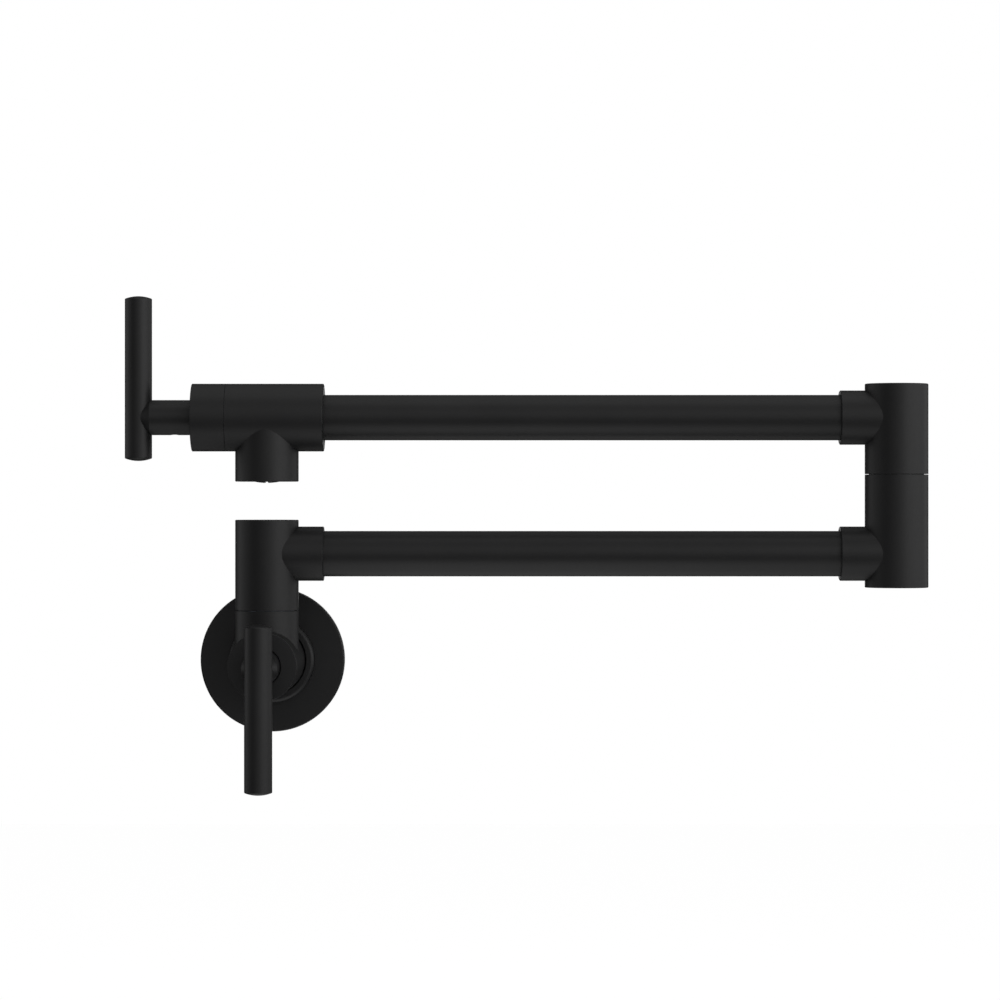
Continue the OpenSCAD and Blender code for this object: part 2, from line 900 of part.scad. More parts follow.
module wall_moving_disc() {
  color(white_ceramic)
    at_wall_valve()
      moving_disc();
}

module wall_spindle_o_ring() {
  color(black_rubber)
    at_wall_valve()
      o_ring(spindle_ring_mid_d, spindle_ring_cs, spindle_ring_h);
}

module wall_spindle_clip() {
  color(bright_steel)
    at_wall_valve()
      spindle_clip();
}

module wall_hub() {
  color(matt_black)
    at_wall_seam()
      swinging_hub(1);
}

module wall_hub_screw() {
  color(dark_steel)
    at_wall_seam()
      retaining_screw();
}

module lower_tube() {
  color(matt_black)
    arm_tube(lower_z, socket_floor, socket_floor);
}

module lower_tube_seals() {
  color(black_rubber)
    tube_seals(lower_z, socket_floor, socket_floor);
}

// Lower half of the elbow, which carries the post
module elbow_lower_hub() {
  arm_h = seam_drop - arm_spacing;
  color(matt_black)
    at_elbow_seam()
      difference() {
        hub_outside(arm_h - hub_over, -half_gap, edge_break, seam_edge, arm_h, -1);
        tube_socket(arm_h, -1);
        bar(stem_way_d, arm_h - stem_way_d / 2 - drill_past, post_low + overrun);
        post_socket();
      }
}

module elbow_post() {
  color(bare_brass)
    at_elbow_seam()
      post();
}

module elbow_post_o_rings() {
  color(black_rubber)
    at_elbow_seam()
      post_o_rings();
}

module elbow_thrust_washer() {
  color(blue_grey_plastic)
    at_elbow_seam()
      thrust_washer();
}

module elbow_upper_hub() {
  color(matt_black)
    at_elbow_seam()
      swinging_hub(-1);
}

module elbow_hub_screw() {
  color(dark_steel)
    at_elbow_seam()
      retaining_screw();
}

module upper_tube() {
  color(matt_black)
    arm_tube(upper_z, spout_floor, socket_floor);
}

module upper_tube_seals() {
  color(black_rubber)
    tube_seals(upper_z, spout_floor, socket_floor);
}

module spout_valve_body() {
  color(matt_black) {
    difference() {
      at_spout_valve()
        valve_outside(spout_tail, nozzle_drop, edge_break);
      at_spout_valve()
        valve_inside(spout_tail, nozzle_drop);
      at_spout_valve()
        bar(socket_d, -spout_tail - overrun, -spout_floor);
      at_nozzle()
        bar(aerator_d + 2 * seat_fit, aerator_top, nozzle_drop + overrun);
    }
  }
}

module spout_bonnet() {
  color(matt_black)
    at_spout_valve()
      bonnet();
}

module spout_cartridge_housing() {
  color(bare_brass)
    at_spout_valve()
      cartridge_housing();
}

module spout_fixed_disc() {
  color(white_ceramic)
    at_spout_valve()
      fixed_disc();
}

module spout_seat_seal() {
  color(black_rubber)
    at_spout_valve()
      seat_seal();
}

module spout_housing_o_ring() {
  color(black_rubber)
    at_spout_valve()
      o_ring(housing_ring_mid_d, housing_ring_cs, housing_ring_h);
}

// Threaded ring whose inner lip carries the insert
module aerator_housing() {
  color(matt_black)
    at_nozzle()
      difference() {
        bar(aerator_d, aerator_housing_top, aerator_low);
        bar(insert_d + 2 * seat_fit, aerator_housing_top - overrun, lip_top);
        bar(lip_hole_d, lip_top - overrun, aerator_low + overrun);
      }
}

// Flow insert with a ring of water holes round a domed, slotted boss
module aerator_insert() {
  boss_end = nozzle_drop + boss_proud;
  color(grey_plastic)
    at_nozzle()
      difference() {
        union() {
          bar(insert_d, insert_top, lip_top);
          domed_bar(boss_d, insert_top, boss_end, boss_proud);
        }
        for (i = [0 : jet_count - 1])
          rotate([0, 0, i * 360 / jet_count])
            translate([jet_ring_d / 2, 0, 0])
              bar(jet_d, insert_top - overrun, lip_top + overrun);
        translate([-slot_w / 2, -boss_d, boss_end - slot_depth])
          cube([slot_w, 2 * boss_d, slot_depth + overrun]);
      }
}

module aerator_washer() {
  color(black_rubber)
    at_nozzle()
      ring(aerator_d, lip_hole_d, aerator_top, aerator_housing_top);
}

module spout_lever_neck() {
  color(matt_black)
    at_spout_valve()
      lever_neck();
}

module spout_lever_bar() {
  color(matt_black)
    at_spout_valve()
      lever_bar();
}

module spout_lever_screw() {
  color(dark_steel)
    at_spout_valve()
      lever_screw();
}

module spout_spindle() {
  color(bare_brass)
    at_spout_valve()
      spindle();
}

module spout_moving_disc() {
  color(white_ceramic)
    at_spout_valve()
      moving_disc();
}

module spout_spindle_o_ring() {
  color(black_rubber)
    at_spout_valve()
      o_ring(spindle_ring_mid_d, spindle_ring_cs, spindle_ring_h);
}

module spout_spindle_clip() {
  color(bright_steel)
    at_spout_valve()
      spindle_clip();
}

flange();
flange_gasket();
flange_collar();
collar_o_ring();
wall_valve_body();
wall_bonnet();
wall_cartridge_housing();
wall_fixed_disc();
wall_seat_seal();
wall_housing_o_ring();
wall_post();
wall_post_o_rings();
wall_thrust_washer();
wall_lever_neck();
wall_lever_bar();
wall_lever_screw();
wall_spindle();
wall_moving_disc();
wall_spindle_o_ring();
wall_spindle_clip();
wall_hub();
wall_hub_screw();
lower_tube();
lower_tube_seals();
elbow_lower_hub();
elbow_post();
elbow_post_o_rings();
elbow_thrust_washer();
elbow_upper_hub();
elbow_hub_screw();
upper_tube();
upper_tube_seals();
spout_valve_body();
spout_bonnet();
spout_cartridge_housing();
spout_fixed_disc();
spout_seat_seal();
spout_housing_o_ring();
aerator_housing();
aerator_insert();
aerator_washer();
spout_lever_neck();
spout_lever_bar();
spout_lever_screw();
spout_spindle();
spout_moving_disc();
spout_spindle_o_ring();
spout_spindle_clip();
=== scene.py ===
# Wall mounted pot filler: fine pieces, finishes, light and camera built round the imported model
import json
import math

import bmesh
import bpy
from mathutils import Matrix, Vector


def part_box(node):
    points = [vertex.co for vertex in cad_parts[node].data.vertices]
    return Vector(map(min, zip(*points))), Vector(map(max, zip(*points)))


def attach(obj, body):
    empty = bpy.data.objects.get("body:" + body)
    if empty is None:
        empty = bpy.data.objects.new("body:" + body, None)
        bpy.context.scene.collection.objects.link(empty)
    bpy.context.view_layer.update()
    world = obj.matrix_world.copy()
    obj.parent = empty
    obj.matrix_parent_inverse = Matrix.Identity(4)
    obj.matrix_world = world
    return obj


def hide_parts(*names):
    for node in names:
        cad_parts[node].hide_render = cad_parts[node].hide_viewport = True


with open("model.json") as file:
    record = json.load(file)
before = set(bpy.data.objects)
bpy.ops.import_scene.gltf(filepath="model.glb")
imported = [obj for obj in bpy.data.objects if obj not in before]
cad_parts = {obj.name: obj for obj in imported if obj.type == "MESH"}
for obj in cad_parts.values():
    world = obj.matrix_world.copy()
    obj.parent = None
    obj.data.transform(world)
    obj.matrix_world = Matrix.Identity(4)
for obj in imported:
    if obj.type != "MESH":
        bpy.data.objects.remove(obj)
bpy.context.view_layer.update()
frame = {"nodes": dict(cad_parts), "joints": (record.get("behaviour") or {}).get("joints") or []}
nodes = frame["nodes"]
joints = {joint["name"]: joint for joint in frame["joints"]}

mm = 0.001
upAxis = Vector((0, 0, 1))
downAxis = Vector((0, 0, -1))
rightAxis = Vector((1, 0, 0))
leftAxis = Vector((-1, 0, 0))
roomAxis = Vector((0, -1, 0))
wallAxis = Vector((0, 1, 0))


# Places: Z runs along a piece's own axis, X is its side direction

def placeAt(point, along, side):
    third = along.cross(side)
    turn = Matrix((side, third, along)).transposed().to_4x4()
    return Matrix.Translation(point) @ turn


wallSwing = Vector(joints["wall_swing"]["pos_m"])
elbowSwing = Vector(joints["elbow_swing"]["pos_m"])
wallTurn = Vector(joints["wall_lever_turn"]["pos_m"])
spoutTurn = Vector(joints["spout_lever_turn"]["pos_m"])
wallValvePoint = Vector((wallSwing.x, wallSwing.y, wallTurn.z))
spoutValvePoint = Vector((wallSwing.x, wallSwing.y, spoutTurn.z))
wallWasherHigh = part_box("wall_thrust_washer")[1].z
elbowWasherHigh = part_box("elbow_thrust_washer")[1].z

wallPlace = placeAt(Vector((0, 0, 0)), roomAxis, rightAxis)
wallValvePlace = placeAt(wallValvePoint, roomAxis, upAxis)
spoutValvePlace = placeAt(spoutValvePoint, leftAxis, downAxis)
nozzlePlace = placeAt(spoutValvePoint, downAxis, rightAxis)
wallBarPlace = placeAt(wallTurn, downAxis, roomAxis)
spoutBarPlace = placeAt(spoutTurn, upAxis, leftAxis)


# Node tree helpers

def newTree(name, inputs):
    tree = bpy.data.node_groups.new(name, "GeometryNodeTree")
    tree.interface.new_socket("Geometry", in_out="INPUT", socket_type="NodeSocketGeometry")
    for label, kind in inputs:
        tree.interface.new_socket(label, in_out="INPUT", socket_type="NodeSocket" + kind)
    tree.interface.new_socket("Geometry", in_out="OUTPUT", socket_type="NodeSocketGeometry")
    return tree, tree.nodes.new("NodeGroupInput").outputs


def addNode(tree, kind, values=None, **settings):
    node = tree.nodes.new(kind)
    for key, value in settings.items():
        setattr(node, key, value)
    for key, value in (values or {}).items():
        if isinstance(value, bpy.types.NodeSocket):
            tree.links.new(value, node.inputs[key])
        else:
            node.inputs[key].default_value = value
    return node


def number(tree, operation, first, second=0.0):
    return addNode(tree, "ShaderNodeMath", {0: first, 1: second}, operation=operation).outputs[0]


def product(tree, first, *others):
    for other in others:
        first = number(tree, "MULTIPLY", first, other)
    return first


def whole(tree, operation, first, second=0):
    node = addNode(tree, "FunctionNodeIntegerMath", {0: first, 1: second}, operation=operation)
    return node.outputs[0]


def triple(tree, x=0.0, y=0.0, z=0.0):
    return addNode(tree, "ShaderNodeCombineXYZ", {0: x, 1: y, 2: z}).outputs[0]


def ringPoint(tree, radius, turn, height):
    across = product(tree, radius, number(tree, "COSINE", turn))
    return triple(tree, across, product(tree, radius, number(tree, "SINE", turn)), height)


def setPlaces(tree, geometry, **places):
    return addNode(tree, "GeometryNodeSetPosition", {"Geometry": geometry, **places}).outputs[0]


def weld(tree, geometry, reach):
    values = {"Geometry": geometry, "Distance": reach * mm}
    return addNode(tree, "GeometryNodeMergeByDistance", values).outputs[0]


def joinParts(tree, *parts):
    join = addNode(tree, "GeometryNodeJoinGeometry")
    for part in parts:
        tree.links.new(part, join.inputs[0])
    return join.outputs[0]


def endTree(tree, geometry, material):
    real = addNode(tree, "GeometryNodeRealizeInstances", {"Geometry": geometry}).outputs[0]
    painted = addNode(tree, "GeometryNodeSetMaterial", {"Geometry": real, "Material": material})
    addNode(tree, "NodeGroupOutput", {"Geometry": painted.outputs[0]})


def growMesh(tree, values, base=None):
    # Runs a tree on a base mesh and gives back the plain result
    holder = bpy.data.objects.new(tree.name, base or bpy.data.meshes.new(tree.name))
    bpy.context.scene.collection.objects.link(holder)
    modifier = holder.modifiers.new(tree.name, "NODES")
    modifier.node_group = tree
    for item in tree.interface.items_tree:
        if item.in_out == "INPUT" and item.name in values:
            modifier[item.identifier] = values[item.name]
    return settled(holder)


def settled(holder):
    graph = bpy.context.evaluated_depsgraph_get()
    mesh = bpy.data.meshes.new_from_object(holder.evaluated_get(graph))
    bpy.data.objects.remove(holder)
    return mesh


# Tree that turns an outline round Z, for flange, caps, rings, washers, tubes and bars

def buildTurnedTree():
    tree, given = newTree("turned piece", [("Sides", "Int"), ("Material", "Material")])
    size = addNode(tree, "GeometryNodeAttributeDomainSize", {"Geometry": given["Geometry"]})
    count = size.outputs["Point Count"]
    rows = whole(tree, "ADD", count, 1)
    columns = whole(tree, "ADD", given["Sides"], 1)
    grid = addNode(tree, "GeometryNodeMeshGrid", {"Vertices X": columns, "Vertices Y": rows})
    index = addNode(tree, "GeometryNodeInputIndex").outputs[0]
    column = whole(tree, "DIVIDE_FLOOR", index, rows)
    row = whole(tree, "MODULO", whole(tree, "MODULO", index, rows), count)
    sample = addNode(
        tree, "GeometryNodeSampleIndex",
        {"Geometry": given["Geometry"], "Index": row}, data_type="FLOAT_VECTOR", domain="POINT",
    )
    place = addNode(tree, "GeometryNodeInputPosition").outputs[0]
    taken = next(socket for socket in sample.inputs if socket.name == "Value" and socket.enabled)
    tree.links.new(place, taken)
    outline = next(socket for socket in sample.outputs if socket.enabled)
    parts = addNode(tree, "ShaderNodeSeparateXYZ", {0: outline}).outputs
    turn = product(tree, number(tree, "DIVIDE", column, given["Sides"]), math.tau)
    skin = setPlaces(tree, grid.outputs["Mesh"], Position=ringPoint(tree, parts[0], turn, parts[2]))
    smooth = addNode(tree, "GeometryNodeSetShadeSmooth", {"Geometry": weld(tree, skin, 0.002)})
    endTree(tree, smooth.outputs[0], given["Material"])
    return tree


# Tree for a set screw along Z: body, dog point and six sided key socket

def buildScrewTree():
    tree, given = newTree("set screw", [
        ("Thread Radius", "Float"), ("Point Radius", "Float"), ("Point Length", "Float"),
        ("Start", "Float"), ("End", "Float"), ("Socket Radius", "Float"), ("Socket Depth", "Float"),
        ("Chamfer", "Float"), ("Material", "Material"),
    ])
    roundSides, keySides = 48, 6

    def rod(radius, endRadius, low, high, sides):
        cone = addNode(tree, "GeometryNodeMeshCone", {
            "Vertices": sides, "Radius Top": endRadius, "Radius Bottom": radius,
            "Depth": number(tree, "SUBTRACT", high, low),
        })
        return setPlaces(tree, cone.outputs["Mesh"], Offset=triple(tree, z=low))

    def combine(operation, first, others):
        node = addNode(tree, "GeometryNodeMeshBoolean", operation=operation, solver="EXACT")
        if first is not None:
            tree.links.new(first, node.inputs[0])
        for other in others:
            tree.links.new(other, node.inputs[1])
        return node.outputs["Mesh"]

    bodyLow = number(tree, "ADD", given["Start"], given["Point Length"])
    shoulder = number(tree, "SUBTRACT", given["End"], given["Chamfer"])
    inner = number(tree, "SUBTRACT", given["Thread Radius"], given["Chamfer"])
    overlap = number(tree, "ADD", bodyLow, given["Chamfer"])
    socketLow = number(tree, "SUBTRACT", given["End"], given["Socket Depth"])
    socketHigh = number(tree, "ADD", given["End"], given["Chamfer"])
    solid = combine("UNION", None, [
        rod(given["Point Radius"], given["Point Radius"], given["Start"], overlap, roundSides),
        rod(given["Thread Radius"], given["Thread Radius"], bodyLow, shoulder, roundSides),
        rod(given["Thread Radius"], inner, shoulder, given["End"], roundSides),
    ])
    key = rod(given["Socket Radius"], given["Socket Radius"], socketLow, socketHigh, keySides)
    endTree(tree, combine("DIFFERENCE", solid, [key]), given["Material"])
    return tree


# Tree for the helical pipe thread, closed at both run-outs

def buildThreadTree():
    tree, given = newTree("pipe thread", [
        ("Crest Radius", "Float"), ("Root Radius", "Float"), ("Pitch", "Float"), ("Start", "Float"),
        ("Turns", "Float"), ("Steps", "Int"), ("Taper", "Float"), ("Crest Share", "Float"),
        ("Material", "Material"),
    ])
    corners = 4               # of the thread's section
    rows = corners + 1        # the last row closes the section and is welded to the first
    steps = product(tree, given["Turns"], given["Steps"])
    total = addNode(tree, "FunctionNodeFloatToInt", {0: steps}).outputs[0]
    columns = whole(tree, "ADD", total, 1)
    grid = addNode(tree, "GeometryNodeMeshGrid", {"Vertices X": columns, "Vertices Y": rows})
    index = addNode(tree, "GeometryNodeInputIndex").outputs[0]
    step = whole(tree, "DIVIDE_FLOOR", index, rows)
    row = whole(tree, "MODULO", whole(tree, "MODULO", index, rows), corners)
    # Rows 0 and 3 lie in the wall, rows 1 and 2 are the crest
    fromMiddle = number(tree, "ABSOLUTE", number(tree, "SUBTRACT", row, 1.5))
    onCrest = number(tree, "LESS_THAN", fromMiddle, 1.0)
    upper = number(tree, "GREATER_THAN", row, 1.5)
    side = number(tree, "SUBTRACT", product(tree, upper, 2.0), 1.0)
    turns = number(tree, "DIVIDE", step, given["Steps"])
    nearEnd = number(tree, "MINIMUM", turns, number(tree, "SUBTRACT", given["Turns"], turns))
    fade = addNode(tree, "ShaderNodeClamp", {0: product(tree, nearEnd, 2.0)}).outputs[0]
    crestHalf = product(tree, given["Crest Share"], 0.5)
    half = addNode(tree, "ShaderNodeMix", {"Factor": onCrest, 2: 0.5, 3: crestHalf}).outputs[0]
    width = product(tree, half, side, given["Pitch"], fade)
    climb = number(tree, "ADD", given["Start"], product(tree, turns, given["Pitch"]))
    height = number(tree, "ADD", climb, width)
    depth = number(tree, "SUBTRACT", given["Root Radius"], given["Crest Radius"])
    narrowing = product(tree, height, given["Taper"])
    inwards = number(tree, "ADD", product(tree, depth, onCrest, fade), narrowing)
    radius = number(tree, "SUBTRACT", given["Root Radius"], inwards)
    turn = product(tree, turns, math.tau)
    skin = setPlaces(tree, grid.outputs["Mesh"], Position=ringPoint(tree, radius, turn, height))
    endTree(tree, weld(tree, skin, 0.0005), given["Material"])
    return tree


# Tree for a round plate with a ring of water holes

def buildJetTree():
    tree, given = newTree("jet plate", [
        ("Plate Radius", "Float"), ("Ring Radius", "Float"), ("Jet Radius", "Float"),
        ("Jets", "Int"), ("Thickness", "Float"), ("Start", "Float"), ("Material", "Material"),
    ])
    platePoints, jetPoints = 96, 20

    def circle(radius, points):
        values = {"Resolution": points, "Radius": radius}
        return addNode(tree, "GeometryNodeCurvePrimitiveCircle", values).outputs["Curve"]

    ring = addNode(tree, "GeometryNodeMeshCircle", {
        "Vertices": given["Jets"], "Radius": given["Ring Radius"],
    })
    jets = addNode(tree, "GeometryNodeInstanceOnPoints", {
        "Points": ring.outputs["Mesh"], "Instance": circle(given["Jet Radius"], jetPoints),
    })
    real = addNode(tree, "GeometryNodeRealizeInstances", {"Geometry": jets.outputs[0]}).outputs[0]
    outline = joinParts(tree, circle(given["Plate Radius"], platePoints), real)
    face = addNode(tree, "GeometryNodeFillCurve", {"Curve": outline}, mode="NGONS").outputs[0]
    lifted = setPlaces(tree, face, Offset=triple(tree, z=given["Start"]))
    plate = addNode(tree, "GeometryNodeExtrudeMesh", {
        "Mesh": lifted, "Offset Scale": given["Thickness"], "Individual": False,
    })
    back = addNode(tree, "GeometryNodeFlipFaces", {"Mesh": lifted}).outputs[0]
    closed = joinParts(tree, plate.outputs["Mesh"], back)
    endTree(tree, weld(tree, closed, 0.001), given["Material"])
    return tree


turnedTree = buildTurnedTree()
screwTree = buildScrewTree()
threadTree = buildThreadTree()
jetTree = buildJetTree()
print("node trees built")


# Finishes: cloudy colour, fine grain in roughness and a fine bump, all on Object coordinates

cloudDetail, grainDetail = 3.0, 2.0
grainRange = (0.3, 0.7)          # of the noise, over which the roughness goes from low to high


def surfaceFinish(name, look):
    material = bpy.data.materials.new(name)
    material.use_nodes = True
    tree = material.node_tree
    shader = tree.nodes["Principled BSDF"]
    shader.inputs["Metallic"].default_value = look.get("metallic", 0.0)
    shader.inputs["Specular IOR Level"].default_value = look.get("specular", 0.5)
    place = addNode(tree, "ShaderNodeTexCoord").outputs["Object"]
    stretch = look.get("stretch", (1, 1, 1))
    drawn = addNode(tree, "ShaderNodeMapping", {"Vector": place, "Scale": stretch}).outputs[0]
    cloud = addNode(tree, "ShaderNodeTexNoise", {
        "Vector": place, "Scale": look["cloud"], "Detail": cloudDetail,
    })
    grain = addNode(tree, "ShaderNodeTexNoise", {
        "Vector": drawn, "Scale": look["grain"], "Detail": grainDetail,
    })
    mix = addNode(tree, "ShaderNodeMix", {"Factor": cloud.outputs[0]}, data_type="RGBA")
    shades = [socket for socket in mix.inputs if socket.type == "RGBA"]
    shades[0].default_value = (*look["dark"], 1)
    shades[1].default_value = (*look["light"], 1)
    colour = next(socket for socket in mix.outputs if socket.type == "RGBA")
    tree.links.new(colour, shader.inputs["Base Color"])
    low, high = look["rough"]
    rough = addNode(tree, "ShaderNodeMapRange", {
        "Value": grain.outputs[0], "From Min": grainRange[0], "From Max": grainRange[1],
        "To Min": low, "To Max": high,
    })
    tree.links.new(rough.outputs[0], shader.inputs["Roughness"])
    bump = addNode(tree, "ShaderNodeBump", {
        "Distance": look["depth"] * mm, "Height": grain.outputs[0],
    })
    tree.links.new(bump.outputs[0], shader.inputs["Normal"])
    return material


blackPaintLook = {
    "dark": (0.006, 0.006, 0.0063),
    "light": (0.009, 0.009, 0.0093),
    "cloud": 45.0,                       # clouds per metre
    "grain": 1500.0,                     # grains per metre
    "rough": (0.44, 0.48),
    "depth": 0.008,                      # bump height in mm
    "specular": 0.3,
}
brassLook = {
    "dark": (0.58, 0.39, 0.15),
    "light": (0.72, 0.52, 0.24),
    "cloud": 90.0,
    "grain": 260.0,
    "rough": (0.22, 0.36),
    "depth": 0.006,
    "metallic": 1.0,
}
rubberLook = {
    "dark": (0.014, 0.014, 0.014),
    "light": (0.024, 0.024, 0.025),
    "cloud": 120.0,
    "grain": 900.0,
    "rough": (0.6, 0.74),
    "depth": 0.01,
    "specular": 0.35,
}
ceramicLook = {
    "dark": (0.8, 0.79, 0.74),
    "light": (0.88, 0.87, 0.83),
    "cloud": 150.0,
    "grain": 1400.0,
    "rough": (0.12, 0.2),
    "depth": 0.001,
}
blackSteelLook = {
    "dark": (0.035, 0.036, 0.04),
    "light": (0.06, 0.06, 0.066),
    "cloud": 200.0,
    "grain": 1300.0,
    "rough": (0.32, 0.46),
    "depth": 0.004,
    "metallic": 1.0,
}
brightSteelLook = {
    "dark": (0.5, 0.5, 0.52),
    "light": (0.66, 0.66, 0.68),
    "cloud": 150.0,
    "grain": 500.0,
    "stretch": (1, 6, 1),
    "rough": (0.2, 0.34),
    "depth": 0.004,
    "metallic": 1.0,
}
washerLook = {
    "dark": (0.1, 0.105, 0.11),
    "light": (0.14, 0.145, 0.15),
    "cloud": 120.0,
    "grain": 1000.0,
    "rough": (0.38, 0.5),
    "depth": 0.004,
}
aeratorLook = {
    "dark": (0.03, 0.03, 0.031),
    "light": (0.05, 0.05, 0.052),
    "cloud": 150.0,
    "grain": 1100.0,
    "rough": (0.36, 0.48),
    "depth": 0.004,
}

blackPaint = surfaceFinish("satin black paint", blackPaintLook)
rubber = surfaceFinish("black rubber", rubberLook)
ceramic = surfaceFinish("white ceramic", ceramicLook)
blackSteel = surfaceFinish("black oxide steel", blackSteelLook)
brightSteel = surfaceFinish("bright spring steel", brightSteelLook)
washerPlastic = surfaceFinish("washer plastic", washerLook)
# The wall washer is blue and painted paler than the elbow washer: painted light standing in for the
# light that reaches into its narrow seam
seamLitWasherLook = {**washerLook, "dark": (0.15, 0.18, 0.215), "light": (0.19, 0.225, 0.27)}
seamLitWasherPlastic = surfaceFinish("blue washer plastic with painted seam light", seamLitWasherLook)
aeratorPlastic = surfaceFinish("aerator plastic", aeratorLook)
# The cartridge housings are brass painted dark and slightly blue: painted shade for the shaded gap
# seen round the neck of the wall lever
gapShadeBrassLook = {**brassLook, "dark": (0.05, 0.056, 0.064), "light": (0.075, 0.082, 0.092)}
gapShadeBrass = surfaceFinish("brass with painted gap shade", gapShadeBrassLook)
# Tool marks run round a turned brass piece, so the grain is drawn out across its axis
uprightBrass = surfaceFinish("turned brass upright", {**brassLook, "stretch": (0.15, 0.15, 12)})
wallBrass = surfaceFinish("turned brass wall valve", {**brassLook, "stretch": (0.15, 12, 0.15)})
spoutBrass = surfaceFinish("turned brass spout valve", {**brassLook, "stretch": (12, 0.15, 0.15)})
slotFinishes = {
    "matt_black": blackPaint,
    "bare_brass": uprightBrass,
    "black_rubber": rubber,
    "white_ceramic": ceramic,
    "black_steel": blackSteel,
    "bright_steel": brightSteel,
    "washer_plastic": washerPlastic,
    "aerator_plastic": aeratorPlastic,
}
print("finishes made")


# Shared mesh work

cornerSteps = 5          # flats in a rounded corner
holdLine = 0.12          # mm from a rounded corner to the line that keeps the next face flat
hardAngle = 35           # degrees from which an edge is shaded hard
roundSlack = 0.012       # mm by which the corners of a face may miss its cylinder
roundFacing = 0.99       # cosine between such a face and the cylinder under it
mergeReach = 0.001       # mm between the loose corners of a node that become one
flatAngle = 0.3          # degrees within which the triangles of a node are one flat face
sidesRound = {"large": 192, "bonnet": 144, "ring": 128, "bar": 96, "hole": 32}


def outlineMesh(corners):
    # Corners are (radius, height, rounding) in mm, in order round a closed outline
    points = []
    total = len(corners)
    for index, (radius, height, rounding) in enumerate(corners):
        here = Vector((radius, height))
        if not rounding:
            points.append(here)
            continue
        before = Vector(corners[index - 1][:2]) - here
        after = Vector(corners[(index + 1) % total][:2]) - here
        opening = before.angle(after)
        reach = rounding / math.tan(opening / 2)
        start = here + before.normalized() * reach
        end = here + after.normalized() * reach
        inwards = (before.normalized() + after.normalized()).normalized()
        centre = here + inwards * rounding / math.sin(opening / 2)
        sweep = -(start - centre).angle_signed(end - centre)
        points.append(start + before.normalized() * min(holdLine, (before.length - reach) / 3))
        for step in range(cornerSteps + 1):
            share = step / cornerSteps
            points.append(centre + Matrix.Rotation(sweep * share, 2) @ (start - centre))
        points.append(end + after.normalized() * min(holdLine, (after.length - reach) / 3))
    mesh = bpy.data.meshes.new("outline")
    edges = [(i, (i + 1) % len(points)) for i in range(len(points))]
    mesh.from_pydata([(p.x * mm, 0, p.y * mm) for p in points], edges, [])
    return mesh


def tidyMesh(mesh, place=None):
    # Puts the mesh in place, drops loose edges, turns faces outwards and marks hard edges
    if place is not None:
        mesh.transform(place)
    work = bmesh.new()
    work.from_mesh(mesh)
    bmesh.ops.delete(work, geom=[e for e in work.edges if not e.link_faces], context="EDGES")
    bmesh.ops.recalc_face_normals(work, faces=work.faces[:])
    if work.calc_volume(signed=True) < 0:
        bmesh.ops.reverse_faces(work, faces=work.faces[:])
    for face in work.faces:
        face.smooth = True
    work.to_mesh(mesh)
    work.free()
    mesh.set_sharp_from_angle(angle=math.radians(hardAngle))
    return mesh


def turnedMesh(corners, material, size, place):
    values = {"Sides": sidesRound[size], "Material": material}
    return tidyMesh(growMesh(turnedTree, values, outlineMesh(corners)), place)


def mergedCopy(nodeName, material):
    # Joined copy of a node's loose triangles, with flat areas made whole again
    work = bmesh.new()
    work.from_mesh(nodes[nodeName].data)
    bmesh.ops.remove_doubles(work, verts=work.verts[:], dist=mergeReach * mm)
    bmesh.ops.dissolve_limit(
        work, angle_limit=math.radians(flatAngle), verts=work.verts[:], edges=work.edges[:],
    )
    for face in work.faces:
        face.smooth = True
        face.material_index = 0
    mesh = bpy.data.meshes.new(nodeName + " copy")
    work.to_mesh(mesh)
    work.free()
    mesh.materials.append(material)
    return mesh


def holderFor(mesh):
    holder = bpy.data.objects.new("holder", mesh)
    bpy.context.scene.collection.objects.link(holder)
    return holder


def combineMeshes(first, second, operation):
    holder = holderFor(first)
    other = holderFor(second)
    modifier = holder.modifiers.new("combine", "BOOLEAN")
    modifier.operation = operation
    modifier.solver = "EXACT"
    modifier.object = other
    result = settled(holder)
    bpy.data.objects.remove(other)
    return result


def softenEdges(mesh, edge):
    holder = holderFor(mesh)
    modifier = holder.modifiers.new("soft edges", "BEVEL")
    modifier.width = edge["width"] * mm
    modifier.segments = edge["segments"]
    modifier.limit_method = "ANGLE"
    modifier.angle_limit = math.radians(edge["angle"])
    modifier.harden_normals = True
    return settled(holder)


def trueRounds(mesh, axes):
    # Faces that lie on a cylinder round one of the axes are shaded as that cylinder
    normals = [corner.vector.copy() for corner in mesh.corner_normals]
    for face in mesh.polygons:
        points = [mesh.vertices[index].co for index in face.vertices]
        for start, along in axes:
            arms = [point - start - along * (point - start).dot(along) for point in points]
            radii = [arm.length for arm in arms]
            facing = sum(arms, Vector()).normalized().dot(face.normal)
            even = max(radii) - min(radii) < roundSlack * mm
            if min(radii) > mm and even and abs(facing) > roundFacing:
                for corner, arm in zip(face.loop_indices, arms):
                    normals[corner] = arm.normalized() * math.copysign(1, facing)
                break
    mesh.normals_split_custom_set(normals)


def finishPiece(name, mesh, body, replaced):
    # A tree leaves an empty first slot, which cut faces fall into, so all faces take one finish
    finish = next(material for material in mesh.materials if material)
    mesh.materials.clear()
    mesh.materials.append(finish)
    mesh.polygons.foreach_set("material_index", [0] * len(mesh.polygons))
    piece = bpy.data.objects.new(name, mesh)
    bpy.context.scene.collection.objects.link(piece)
    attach(piece, body)
    if replaced:
        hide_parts(*replaced)
    return piece


# Wall flange, its gasket, its collar and the ring inside the collar

